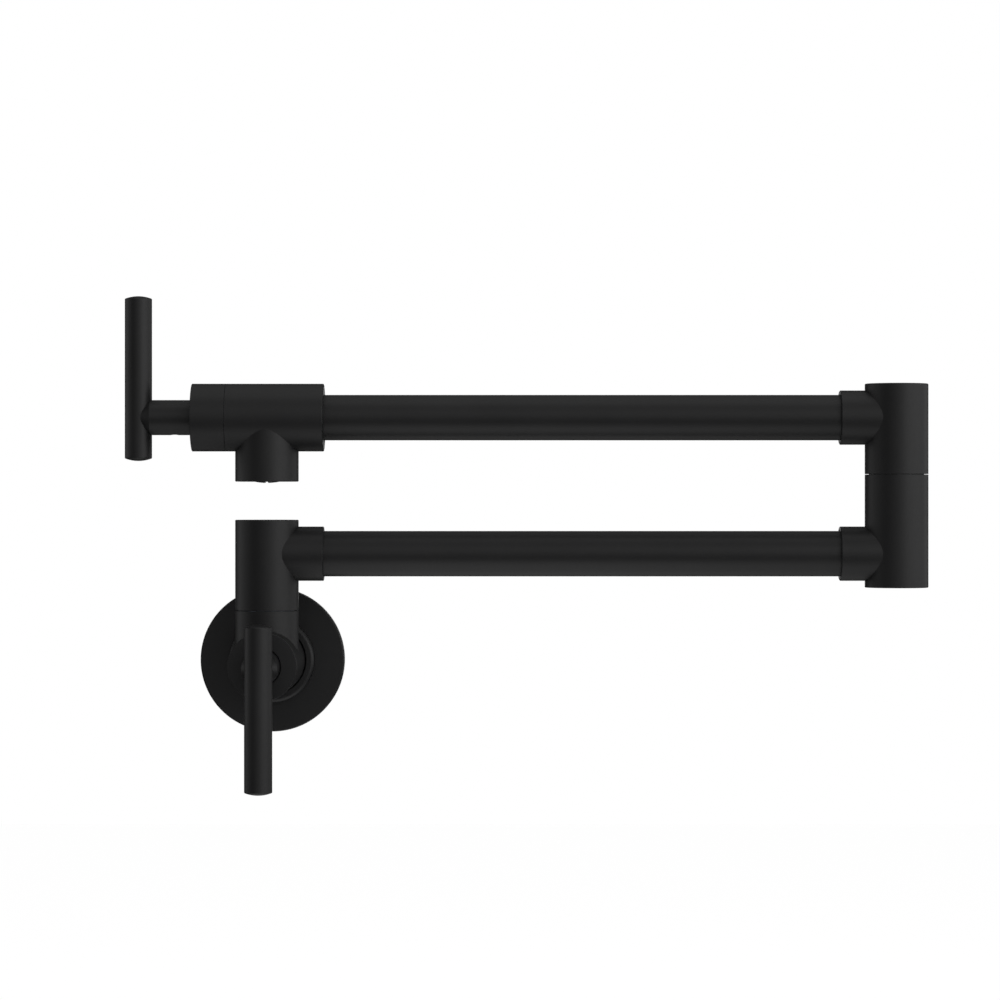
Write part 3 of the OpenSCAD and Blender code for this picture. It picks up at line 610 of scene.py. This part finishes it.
flangeSizes = {
    "hole": 17.0,
    "landEnd": 20.2,
    "pocketEnd": 32.7,
    "pocketDepth": 3.5,
    "frontRound": 0.75,
    "backRound": 0.12,
    "innerRound": 0.2,
}
flangeLow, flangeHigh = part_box("flange")
flangeRadius = flangeHigh.x / mm
flangeThick = -flangeLow.y / mm
flangeMesh = turnedMesh([
    (flangeSizes["hole"], 0, flangeSizes["backRound"]),
    (flangeSizes["landEnd"], 0, flangeSizes["backRound"]),
    (flangeSizes["landEnd"], flangeSizes["pocketDepth"], flangeSizes["innerRound"]),
    (flangeSizes["pocketEnd"], flangeSizes["pocketDepth"], flangeSizes["innerRound"]),
    (flangeSizes["pocketEnd"], 0, flangeSizes["backRound"]),
    (flangeRadius, 0, flangeSizes["backRound"]),
    (flangeRadius, flangeThick, flangeSizes["frontRound"]),
    (flangeSizes["hole"], flangeThick, flangeSizes["innerRound"]),
], blackPaint, "large", wallPlace)
finishPiece("wallFlange", flangeMesh, "wall_body", ["flange"])

gasketSizes = {
    "inner": 20.5,
    "outer": 32.4,
    "thick": 3.5,
    "ribs": 5,
    "ribDepth": 0.55,
    "ribTopShare": 0.45,      # of the pitch
    "round": 0.15,
    "backRound": 0.3,
}


def gasketOutline(sizes):
    corners = [(sizes[edge], sizes["thick"], sizes["backRound"]) for edge in ("outer", "inner")]
    pitch = (sizes["outer"] - sizes["inner"]) / (sizes["ribs"] - 1 + sizes["ribTopShare"])
    for rib in range(sizes["ribs"]):
        start = sizes["inner"] + rib * pitch
        end = start + sizes["ribTopShare"] * pitch
        if rib:
            corners.append((start, sizes["ribDepth"], sizes["round"]))
        corners.append((start, 0, sizes["round"]))
        corners.append((end, 0, sizes["round"]))
        if rib < sizes["ribs"] - 1:
            corners.append((end, sizes["ribDepth"], sizes["round"]))
    return corners


gasketMesh = turnedMesh(gasketOutline(gasketSizes), rubber, "ring", wallPlace)
finishPiece("flangeGasket", gasketMesh, "wall_body", ["flange_gasket"])

collarSizes = {
    "hole": 17.0,
    "grooveRadius": 18.4,
    "grooveLow": 8.5,
    "grooveHigh": 10.9,
    "ringMiddle": 17.37,      # squeezed a little into the barrel
    "ringSection": 1.0,
    "frontRound": 1.9,
    "holeRound": 0.2,
    "seamRound": 0.08,
}
collarLow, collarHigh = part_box("flange_collar")
collarRadius = collarHigh.x / mm
collarTop = -collarLow.y / mm
collarMesh = turnedMesh([
    (collarSizes["hole"], flangeThick, collarSizes["seamRound"]),
    (collarRadius, flangeThick, collarSizes["seamRound"]),
    (collarRadius, collarTop, collarSizes["frontRound"]),
    (collarSizes["hole"], collarTop, collarSizes["holeRound"]),
    (collarSizes["hole"], collarSizes["grooveHigh"], collarSizes["seamRound"]),
    (collarSizes["grooveRadius"], collarSizes["grooveHigh"], collarSizes["seamRound"]),
    (collarSizes["grooveRadius"], collarSizes["grooveLow"], collarSizes["seamRound"]),
    (collarSizes["hole"], collarSizes["grooveLow"], collarSizes["seamRound"]),
], blackPaint, "large", wallPlace)
finishPiece("flangeCollar", collarMesh, "wall_body", ["flange_collar"])

ringHeight = (collarSizes["grooveLow"] + collarSizes["grooveHigh"]) / 2
ringSteps = 20
ringOutline = [
    (
        collarSizes["ringMiddle"] + collarSizes["ringSection"] * math.cos(math.tau * i / ringSteps),
        ringHeight + collarSizes["ringSection"] * math.sin(math.tau * i / ringSteps),
        0,
    )
    for i in range(ringSteps)
]
ringMesh = turnedMesh(ringOutline, rubber, "ring", wallPlace)
finishPiece("collarRing", ringMesh, "wall_body", ["collar_o_ring"])
print("flange and collar made")


# Bonnets over the two cartridges

bonnetSizes = {
    "seam": 19.82,
    "top": 36.2,
    "face": 4.0,
    "bore": 13.45,
    "hole": 8.85,
    "radius": 16.4,
    "frontRound": 0.18,
    "holeRound": 0.25,
    "seamRound": 0.08,
}
bonnetOutline = [
    (bonnetSizes["bore"], bonnetSizes["seam"], bonnetSizes["seamRound"]),
    (bonnetSizes["radius"], bonnetSizes["seam"], bonnetSizes["seamRound"]),
    (bonnetSizes["radius"], bonnetSizes["top"], bonnetSizes["frontRound"]),
    (bonnetSizes["hole"], bonnetSizes["top"], bonnetSizes["holeRound"]),
    (bonnetSizes["hole"], bonnetSizes["top"] - bonnetSizes["face"], bonnetSizes["seamRound"]),
    (bonnetSizes["bore"], bonnetSizes["top"] - bonnetSizes["face"], bonnetSizes["holeRound"]),
]
for name, place, body, node in (
    ("wallBonnet", wallValvePlace, "wall_body", "wall_bonnet"),
    ("spoutBonnet", spoutValvePlace, "upper_arm", "spout_bonnet"),
):
    bonnetMesh = turnedMesh(bonnetOutline, blackPaint, "bonnet", place)
    finishPiece(name, bonnetMesh, body, [node])

# Thrust washers in the two swivel seams

washerSizes = {"inner": 10.6, "outer": 13.3, "thick": 1.5, "round": 0.2}
washerOutline = [
    (washerSizes["inner"], -washerSizes["thick"], washerSizes["round"]),
    (washerSizes["outer"], -washerSizes["thick"], washerSizes["round"]),
    (washerSizes["outer"], 0, washerSizes["round"]),
    (washerSizes["inner"], 0, washerSizes["round"]),
]
for name, centre, high, finish, body, node in (
    # The wall washer takes the blue washer finish with painted seam light
    ("wallWasher", wallSwing, wallWasherHigh, seamLitWasherPlastic, "wall_body", "wall_thrust_washer"),
    ("elbowWasher", elbowSwing, elbowWasherHigh, washerPlastic, "lower_arm", "elbow_thrust_washer"),
):
    place = placeAt(Vector((centre.x, centre.y, high)), upAxis, rightAxis)
    washerMesh = turnedMesh(washerOutline, finish, "ring", place)
    finishPiece(name, washerMesh, body, [node])

# Arm tubes

tubeSizes = {"outer": 11.0, "inner": 9.4, "round": 0.25}


def tubeMiddle(node):
    low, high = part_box(node)
    return (low + high) / 2


for name, node, body in (
    ("lowerTube", "lower_tube", "lower_arm"),
    ("upperTube", "upper_tube", "upper_arm"),
):
    low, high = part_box(node)
    middle = tubeMiddle(node)
    place = placeAt(Vector((low.x, middle.y, middle.z)), rightAxis, upAxis)
    length = (high.x - low.x) / mm
    tubeMesh = turnedMesh([
        (tubeSizes["inner"], 0, tubeSizes["round"]),
        (tubeSizes["outer"], 0, tubeSizes["round"]),
        (tubeSizes["outer"], length, tubeSizes["round"]),
        (tubeSizes["inner"], length, tubeSizes["round"]),
    ], blackPaint, "ring", place)
    finishPiece(name, tubeMesh, body, [node])

# Lever bars with domed ends and a blind hole for the neck's stud

barSizes = {
    "radius": 6.575,
    "long": 58.8,
    "short": 21.0,
    "domeRise": 1.15,
    "edge": 0.3,
    "edgeRound": 0.25,
    "domeSteps": 14,
    "studHole": 2.55,
    "holePast": 2.05,
}


def barOutline(sizes):
    base = sizes["radius"] - sizes["edge"]
    sphere = (base ** 2 + sizes["domeRise"] ** 2) / (2 * sizes["domeRise"])
    opening = math.asin(base / sphere)

    def domePoints(end, sign):
        points = []
        for step in range(sizes["domeSteps"] + 1):
            turn = opening * step / sizes["domeSteps"]
            radius = sphere * math.sin(turn) if step else 0
            points.append((radius, end - sign * sphere * (1 - math.cos(turn)), 0))
        return points

    low = domePoints(-sizes["short"], -1)
    high = domePoints(sizes["long"], 1)
    shoulderLow = -sizes["short"] + sizes["domeRise"] + sizes["edge"]
    shoulderHigh = sizes["long"] - sizes["domeRise"] - sizes["edge"]
    side = [(sizes["radius"], height, sizes["edgeRound"]) for height in (shoulderLow, shoulderHigh)]
    return low + side + list(reversed(high))


for name, place, body, node in (
    ("wallLeverBar", wallBarPlace, "wall_lever", "wall_lever_bar"),
    ("spoutLeverBar", spoutBarPlace, "spout_lever", "spout_lever_bar"),
):
    barMesh = turnedMesh(barOutline(barSizes), blackPaint, "bar", place)
    # Side direction of the bar's place points away from the valve
    holePlace = place @ Matrix.Rotation(math.pi / 2, 4, "Y")
    holeTool = turnedMesh([
        (0, -barSizes["radius"] * 2, 0),
        (barSizes["studHole"], -barSizes["radius"] * 2, 0),
        (barSizes["studHole"], barSizes["holePast"], 0),
        (0, barSizes["holePast"], 0),
    ], blackPaint, "hole", holePlace)
    barMesh = tidyMesh(combineMeshes(barMesh, holeTool, "DIFFERENCE"))
    finishPiece(name, barMesh, body, [node])
print("bonnets, washers, tubes and lever bars made")


# Hubs, valve bodies and necks keep the shape of their nodes, with softened edges

softEdge = {"width": 0.1, "segments": 2, "angle": 25}
inletSizes = {
    "mouth": 10.6,            # root radius of the thread at the wall, in mm
    "crest": 9.62,            # crest radius there
    "pitch": 1.814,
    "depth": 15.0,
    "taper": 1 / 32,          # change of radius along the depth
    "steps": 64,
    "crestShare": 0.14,       # of the pitch
    "rootSink": 0.04,         # of the thread's root in the wall of the bore
    "cutPast": 1.0,           # the wall
}
inletTool = turnedMesh([
    (0, -inletSizes["cutPast"], 0),
    (
        inletSizes["mouth"] + inletSizes["taper"] * inletSizes["cutPast"],
        -inletSizes["cutPast"], 0,
    ),
    (inletSizes["mouth"] - inletSizes["taper"] * inletSizes["depth"], inletSizes["depth"], 0),
    (0, inletSizes["depth"], 0),
], blackPaint, "bar", wallPlace)

roundAxes = (
    (wallSwing, upAxis), (elbowSwing, upAxis),
    (wallValvePoint, roomAxis), (spoutValvePoint, leftAxis),
    (tubeMiddle("lower_tube"), leftAxis), (tubeMiddle("upper_tube"), leftAxis),
)
copies = (
    ("wallValveBody", "wall_valve_body", "wall_body"),
    ("wallHub", "wall_hub", "lower_arm"),
    ("elbowLowerHub", "elbow_lower_hub", "lower_arm"),
    ("elbowUpperHub", "elbow_upper_hub", "upper_arm"),
    ("spoutValveBody", "spout_valve_body", "upper_arm"),
    ("wallLeverNeck", "wall_lever_neck", "wall_lever"),
    ("spoutLeverNeck", "spout_lever_neck", "spout_lever"),
)
for name, node, body in copies:
    mesh = mergedCopy(node, blackPaint)
    if node == "wall_valve_body":
        mesh = combineMeshes(mesh, inletTool, "DIFFERENCE")
    mesh = softenEdges(mesh, softEdge)
    trueRounds(mesh, roundAxes)
    finishPiece(name, mesh, body, [node])
print("hubs, valve bodies and necks made")

threadTurns = inletSizes["depth"] / inletSizes["pitch"] - 1
threadMesh = growMesh(threadTree, {
    "Crest Radius": inletSizes["crest"] * mm,
    "Root Radius": (inletSizes["mouth"] + inletSizes["rootSink"]) * mm,
    "Pitch": inletSizes["pitch"] * mm,
    "Start": inletSizes["pitch"] / 2 * mm,
    "Turns": threadTurns,
    "Steps": inletSizes["steps"],
    "Taper": inletSizes["taper"],
    "Crest Share": inletSizes["crestShare"],
    "Material": wallBrass,
})
finishPiece("inletThread", tidyMesh(threadMesh, wallPlace), "wall_body", [])

# Set screws: two in the hubs behind, one in each neck

hubScrewSizes = {
    "radius": 2.5, "point": 1.6, "pointLength": 1.25, "start": 9.3, "end": 14.6, "height": 9.0,
}
neckScrewSizes = {
    "radius": 2.0, "point": 1.4, "pointLength": 0.8, "start": 3.5, "end": 7.8, "height": 44.8,
}
keySizes = {"share": 0.56, "depth": 1.8, "chamfer": 0.25}
seamToWasher = 0.135         # mm from the middle of a swivel seam up to the top of its washer

screwRise = upAxis * (hubScrewSizes["height"] - seamToWasher) * mm
wallScrewPoint = Vector((wallSwing.x, wallSwing.y, wallWasherHigh)) + screwRise
elbowScrewPoint = Vector((elbowSwing.x, elbowSwing.y, elbowWasherHigh)) + screwRise
screws = (
    (
        "wallHubScrew", "wall_hub_screw", "lower_arm", hubScrewSizes,
        placeAt(wallScrewPoint, wallAxis, rightAxis),
    ),
    (
        "elbowHubScrew", "elbow_hub_screw", "upper_arm", hubScrewSizes,
        placeAt(elbowScrewPoint, wallAxis, rightAxis),
    ),
    (
        "wallLeverScrew", "wall_lever_screw", "wall_lever", neckScrewSizes,
        placeAt(wallValvePoint + roomAxis * neckScrewSizes["height"] * mm, upAxis, rightAxis),
    ),
    (
        "spoutLeverScrew", "spout_lever_screw", "spout_lever", neckScrewSizes,
        placeAt(spoutValvePoint + leftAxis * neckScrewSizes["height"] * mm, downAxis, rightAxis),
    ),
)
for name, node, body, sizes, place in screws:
    screwMesh = growMesh(screwTree, {
        "Thread Radius": sizes["radius"] * mm,
        "Point Radius": sizes["point"] * mm,
        "Point Length": sizes["pointLength"] * mm,
        "Start": sizes["start"] * mm,
        "End": sizes["end"] * mm,
        "Socket Radius": sizes["radius"] * keySizes["share"] * mm,
        "Socket Depth": keySizes["depth"] * mm,
        "Chamfer": keySizes["chamfer"] * mm,
        "Material": blackSteel,
    })
    finishPiece(name, tidyMesh(screwMesh, place), body, [node])
print("thread and set screws made")


# Aerator: threaded ring with its lip, and the insert with its jets and domed boss

aeratorSizes = {
    "outer": 12.0,
    "bore": 10.15,
    "lipHole": 9.0,
    "top": 22.0,
    "lipTop": 28.3,
    "rim": 30.7,
    "innerRound": 0.1,
    "topRound": 0.2,
    "rimRound": 0.3,
    "lipRound": 0.35,
}
aeratorMesh = turnedMesh([
    (aeratorSizes["bore"], aeratorSizes["top"], aeratorSizes["innerRound"]),
    (aeratorSizes["outer"], aeratorSizes["top"], aeratorSizes["topRound"]),
    (aeratorSizes["outer"], aeratorSizes["rim"], aeratorSizes["rimRound"]),
    (aeratorSizes["lipHole"], aeratorSizes["rim"], aeratorSizes["lipRound"]),
    (aeratorSizes["lipHole"], aeratorSizes["lipTop"], aeratorSizes["innerRound"]),
    (aeratorSizes["bore"], aeratorSizes["lipTop"], aeratorSizes["innerRound"]),
], blackPaint, "ring", nozzlePlace)
finishPiece("aeratorRing", aeratorMesh, "upper_arm", ["aerator_housing"])

insertSizes = {
    "radius": 10.1,
    "top": 23.5,
    "bottom": 28.3,
    "jets": 12,
    "jetRadius": 0.7,
    "jetRing": 7.65,
    "boss": 6.3,
    "bossEnd": 31.0,
    "bossSink": 1.0,          # of the boss in the plate
    "domeRise": 0.65,
    "domeSteps": 10,
    "slotWidth": 1.6,
    "slotDepth": 1.2,
}
plateMesh = growMesh(jetTree, {
    "Plate Radius": insertSizes["radius"] * mm,
    "Ring Radius": insertSizes["jetRing"] * mm,
    "Jet Radius": insertSizes["jetRadius"] * mm,
    "Jets": insertSizes["jets"],
    "Thickness": (insertSizes["bottom"] - insertSizes["top"]) * mm,
    "Start": insertSizes["top"] * mm,
    "Material": aeratorPlastic,
})
tidyMesh(plateMesh, nozzlePlace)


def bossOutline(sizes):
    sphere = (sizes["boss"] ** 2 + sizes["domeRise"] ** 2) / (2 * sizes["domeRise"])
    opening = math.asin(sizes["boss"] / sphere)
    low = sizes["bottom"] - sizes["bossSink"]
    crown = sizes["bossEnd"] + sizes["domeRise"]
    points = [(0, low, 0), (sizes["boss"], low, 0)]
    for step in range(sizes["domeSteps"], -1, -1):
        turn = opening * step / sizes["domeSteps"]
        radius = sphere * math.sin(turn) if step else 0
        points.append((radius, crown - sphere * (1 - math.cos(turn)), 0))
    return points


bossMesh = turnedMesh(bossOutline(insertSizes), aeratorPlastic, "bar", nozzlePlace)
slotEnd = (insertSizes["bossEnd"] + insertSizes["domeRise"]) * mm
slotTool = bpy.data.meshes.new("slot")
slotWork = bmesh.new()
bmesh.ops.create_cube(slotWork, size=1)
slotBox = Vector((insertSizes["slotWidth"], insertSizes["boss"] * 3, insertSizes["slotDepth"] * 2))
bmesh.ops.scale(slotWork, verts=slotWork.verts, vec=slotBox * mm)
bmesh.ops.translate(slotWork, verts=slotWork.verts, vec=(0, 0, slotEnd))
bmesh.ops.transform(slotWork, matrix=nozzlePlace, verts=slotWork.verts)
slotWork.to_mesh(slotTool)
slotWork.free()
bossMesh = combineMeshes(bossMesh, slotTool, "DIFFERENCE")
insertMesh = tidyMesh(combineMeshes(plateMesh, bossMesh, "UNION"))
finishPiece("aeratorInsert", insertMesh, "upper_arm", ["aerator_insert"])
print("aerator made")


# Inner nodes keep their CAD shape and get the finish of their slot, or the one named here

innerFinishes = {
    # Both housings take the brass darkened as painted shade for the gap round the neck
    "wall_cartridge_housing": gapShadeBrass,
    "wall_spindle": wallBrass,
    "spout_cartridge_housing": gapShadeBrass,
    "spout_spindle": spoutBrass,
}
for name, node in nodes.items():
    if node.hide_render:
        continue
    slotName = node.data.materials[0].name
    finish = innerFinishes.get(name) or slotFinishes.get(slotName)
    if finish is None:
        print("no finish for", name, slotName)
        continue
    for index in range(len(node.data.materials)):
        node.data.materials[index] = finish
print("inner pieces finished")


# Floor, lamps and world. Glossy rays see the lamps, a soft studio made of lobes in the world
# and pools of painted light glowing on a floor that is otherwise painted dark for them. Camera and
# transmission rays see plain white

stage = {
    "floorHeight": -0.45,
    "floorSize": 8.0,
    "floorColour": 0.86,
    "floorGlow": 0.3,
    "floorRough": 0.8,
    "poolAcross": 0.12,
    "poolRadius": 0.35,
    "fill": 0.8,
}
# Painted pools of light on the floor, glowing only in reflections. Place of a pool along Y: its
# strength
paintedFloorPools = {-0.9: 0.05, -0.45: 1.36, -0.1: 0.39, 0.25: 0.57, 0.8: 0.06}
lamps = {
    "rightFront": {"at": (1.5, -1.7, 0.7), "size": (0.9, 1.3), "power": 5.2},
    "leftFront": {"at": (-1.6, -0.6, 0.4), "size": (0.5, 1.2), "power": 0.8},
    "above": {"at": (0.2, -0.5, 1.7), "size": (1.4, 0.8), "power": 2.1},
}
# Degrees round from the front to the right, degrees up, sharpness, strength
studioLobes = (
    (0, 0, 12, 0.21), (30, 0, 12, 1.05), (60, 0, 12, 2.0), (75, 0, 60, 1.35),
    (90, 0, 60, 1.25), (105, 0, 60, 0.66), (120, 0, 60, 1.21), (135, 0, 60, 0.45),
    (180, 0, 60, 2.3), (240, 0, 60, 0.67), (255, 0, 60, 0.89), (270, 0, 12, 0.67),
    (0, 30, 12, 0.83), (90, 45, 12, 1.12), (0, 90, 12, 0.65), (180, 60, 12, 0.32),
)
aimPoint = Vector((0.1259, -0.05, 0.06))

floorMesh = bpy.data.meshes.new("floor")
half = stage["floorSize"] / 2
signs = ((-1, -1), (1, -1), (1, 1), (-1, 1))
corners = [(x * half, y * half, stage["floorHeight"]) for x, y in signs]
floorMesh.from_pydata(corners, [], [(0, 1, 2, 3)])
floor = bpy.data.objects.new("floor", floorMesh)
bpy.context.scene.collection.objects.link(floor)
floorFinish = bpy.data.materials.new("pale floor")
floorFinish.use_nodes = True
floorTree = floorFinish.node_tree
floorShader = floorTree.nodes["Principled BSDF"]
floorShader.inputs["Roughness"].default_value = stage["floorRough"]
floorShader.inputs["Specular IOR Level"].default_value = 0.0
rays = addNode(floorTree, "ShaderNodeLightPath").outputs
isGlossy = rays["Is Glossy Ray"]
# Seen in reflections the floor loses its own colour, a painted shade, so only the painted pools of
# light show there
shade = product(floorTree, number(floorTree, "SUBTRACT", 1.0, isGlossy), stage["floorColour"])
floorTree.links.new(triple(floorTree, shade, shade, shade), floorShader.inputs["Base Color"])
floorShader.inputs["Emission Color"].default_value = (1, 1, 1, 1)
seen = number(floorTree, "MAXIMUM", rays["Is Camera Ray"], rays["Is Transmission Ray"])
glow = product(floorTree, seen, stage["floorGlow"])
floorPlace = addNode(floorTree, "ShaderNodeTexCoord").outputs["Object"]
# Each pool glows only for glossy rays: a painted reflection of light on the floor
for along, strength in paintedFloorPools.items():
    centre = (stage["poolAcross"], along, stage["floorHeight"])
    away = addNode(
        floorTree, "ShaderNodeVectorMath", {0: floorPlace, 1: centre}, operation="DISTANCE",
    ).outputs["Value"]
    share = number(floorTree, "POWER", number(floorTree, "DIVIDE", away, stage["poolRadius"]), 2.0)
    pool = number(floorTree, "EXPONENT", product(floorTree, share, -1.0))
    glow = number(floorTree, "ADD", glow, product(floorTree, pool, strength, isGlossy))
floorTree.links.new(glow, floorShader.inputs["Emission Strength"])
floorMesh.materials.append(floorFinish)

for name, lamp in lamps.items():
    light = bpy.data.lights.new(name, "AREA")
    light.shape = "RECTANGLE"
    light.size, light.size_y = lamp["size"]
    light.energy = lamp["power"]
    holder = bpy.data.objects.new(name, light)
    holder.location = lamp["at"]
    holder.rotation_euler = (aimPoint - Vector(lamp["at"])).to_track_quat("-Z", "Y").to_euler()
    bpy.context.scene.collection.objects.link(holder)

world = bpy.data.worlds.new("studio")
bpy.context.scene.world = world
world.use_nodes = True
worldTree = world.node_tree
background = worldTree.nodes["Background"]
background.inputs["Color"].default_value = (1, 1, 1, 1)
direction = addNode(worldTree, "ShaderNodeTexCoord").outputs["Generated"]
gloss = None
for around, up, sharpness, strength in studioLobes:
    around, up = math.radians(around), math.radians(up)
    towards = (math.sin(around) * math.cos(up), -math.cos(around) * math.cos(up), math.sin(up))
    facing = addNode(
        worldTree, "ShaderNodeVectorMath", {0: direction, 1: towards}, operation="DOT_PRODUCT",
    ).outputs["Value"]
    lobe = number(worldTree, "POWER", number(worldTree, "MAXIMUM", facing, 0.0), sharpness)
    lobe = product(worldTree, lobe, strength)
    gloss = lobe if gloss is None else number(worldTree, "ADD", gloss, lobe)
rays = addNode(worldTree, "ShaderNodeLightPath").outputs
clear = number(worldTree, "MAXIMUM", rays["Is Camera Ray"], rays["Is Transmission Ray"])
studio = product(worldTree, rays["Is Glossy Ray"], gloss)
named = number(worldTree, "MAXIMUM", clear, rays["Is Glossy Ray"])
fill = product(worldTree, number(worldTree, "SUBTRACT", 1.0, named), stage["fill"])
shown = number(worldTree, "ADD", number(worldTree, "MAXIMUM", clear, studio), fill)
worldTree.links.new(shown, background.inputs["Strength"])

cameraSizes = {"x": 0.1129, "z": 0.0792, "distance": 1.709, "lens": 127.0, "sensor": 36.0}
camera = bpy.data.cameras.new("camera")
camera.lens = cameraSizes["lens"]
camera.sensor_width = cameraSizes["sensor"]
cameraHolder = bpy.data.objects.new("camera", camera)
cameraHolder.location = (cameraSizes["x"], wallSwing.y - cameraSizes["distance"], cameraSizes["z"])
cameraHolder.rotation_euler = (math.pi / 2, 0, 0)
bpy.context.scene.collection.objects.link(cameraHolder)
bpy.context.scene.camera = cameraHolder
bpy.context.scene.view_settings.view_transform = "Standard"
print("floor, light and camera set")
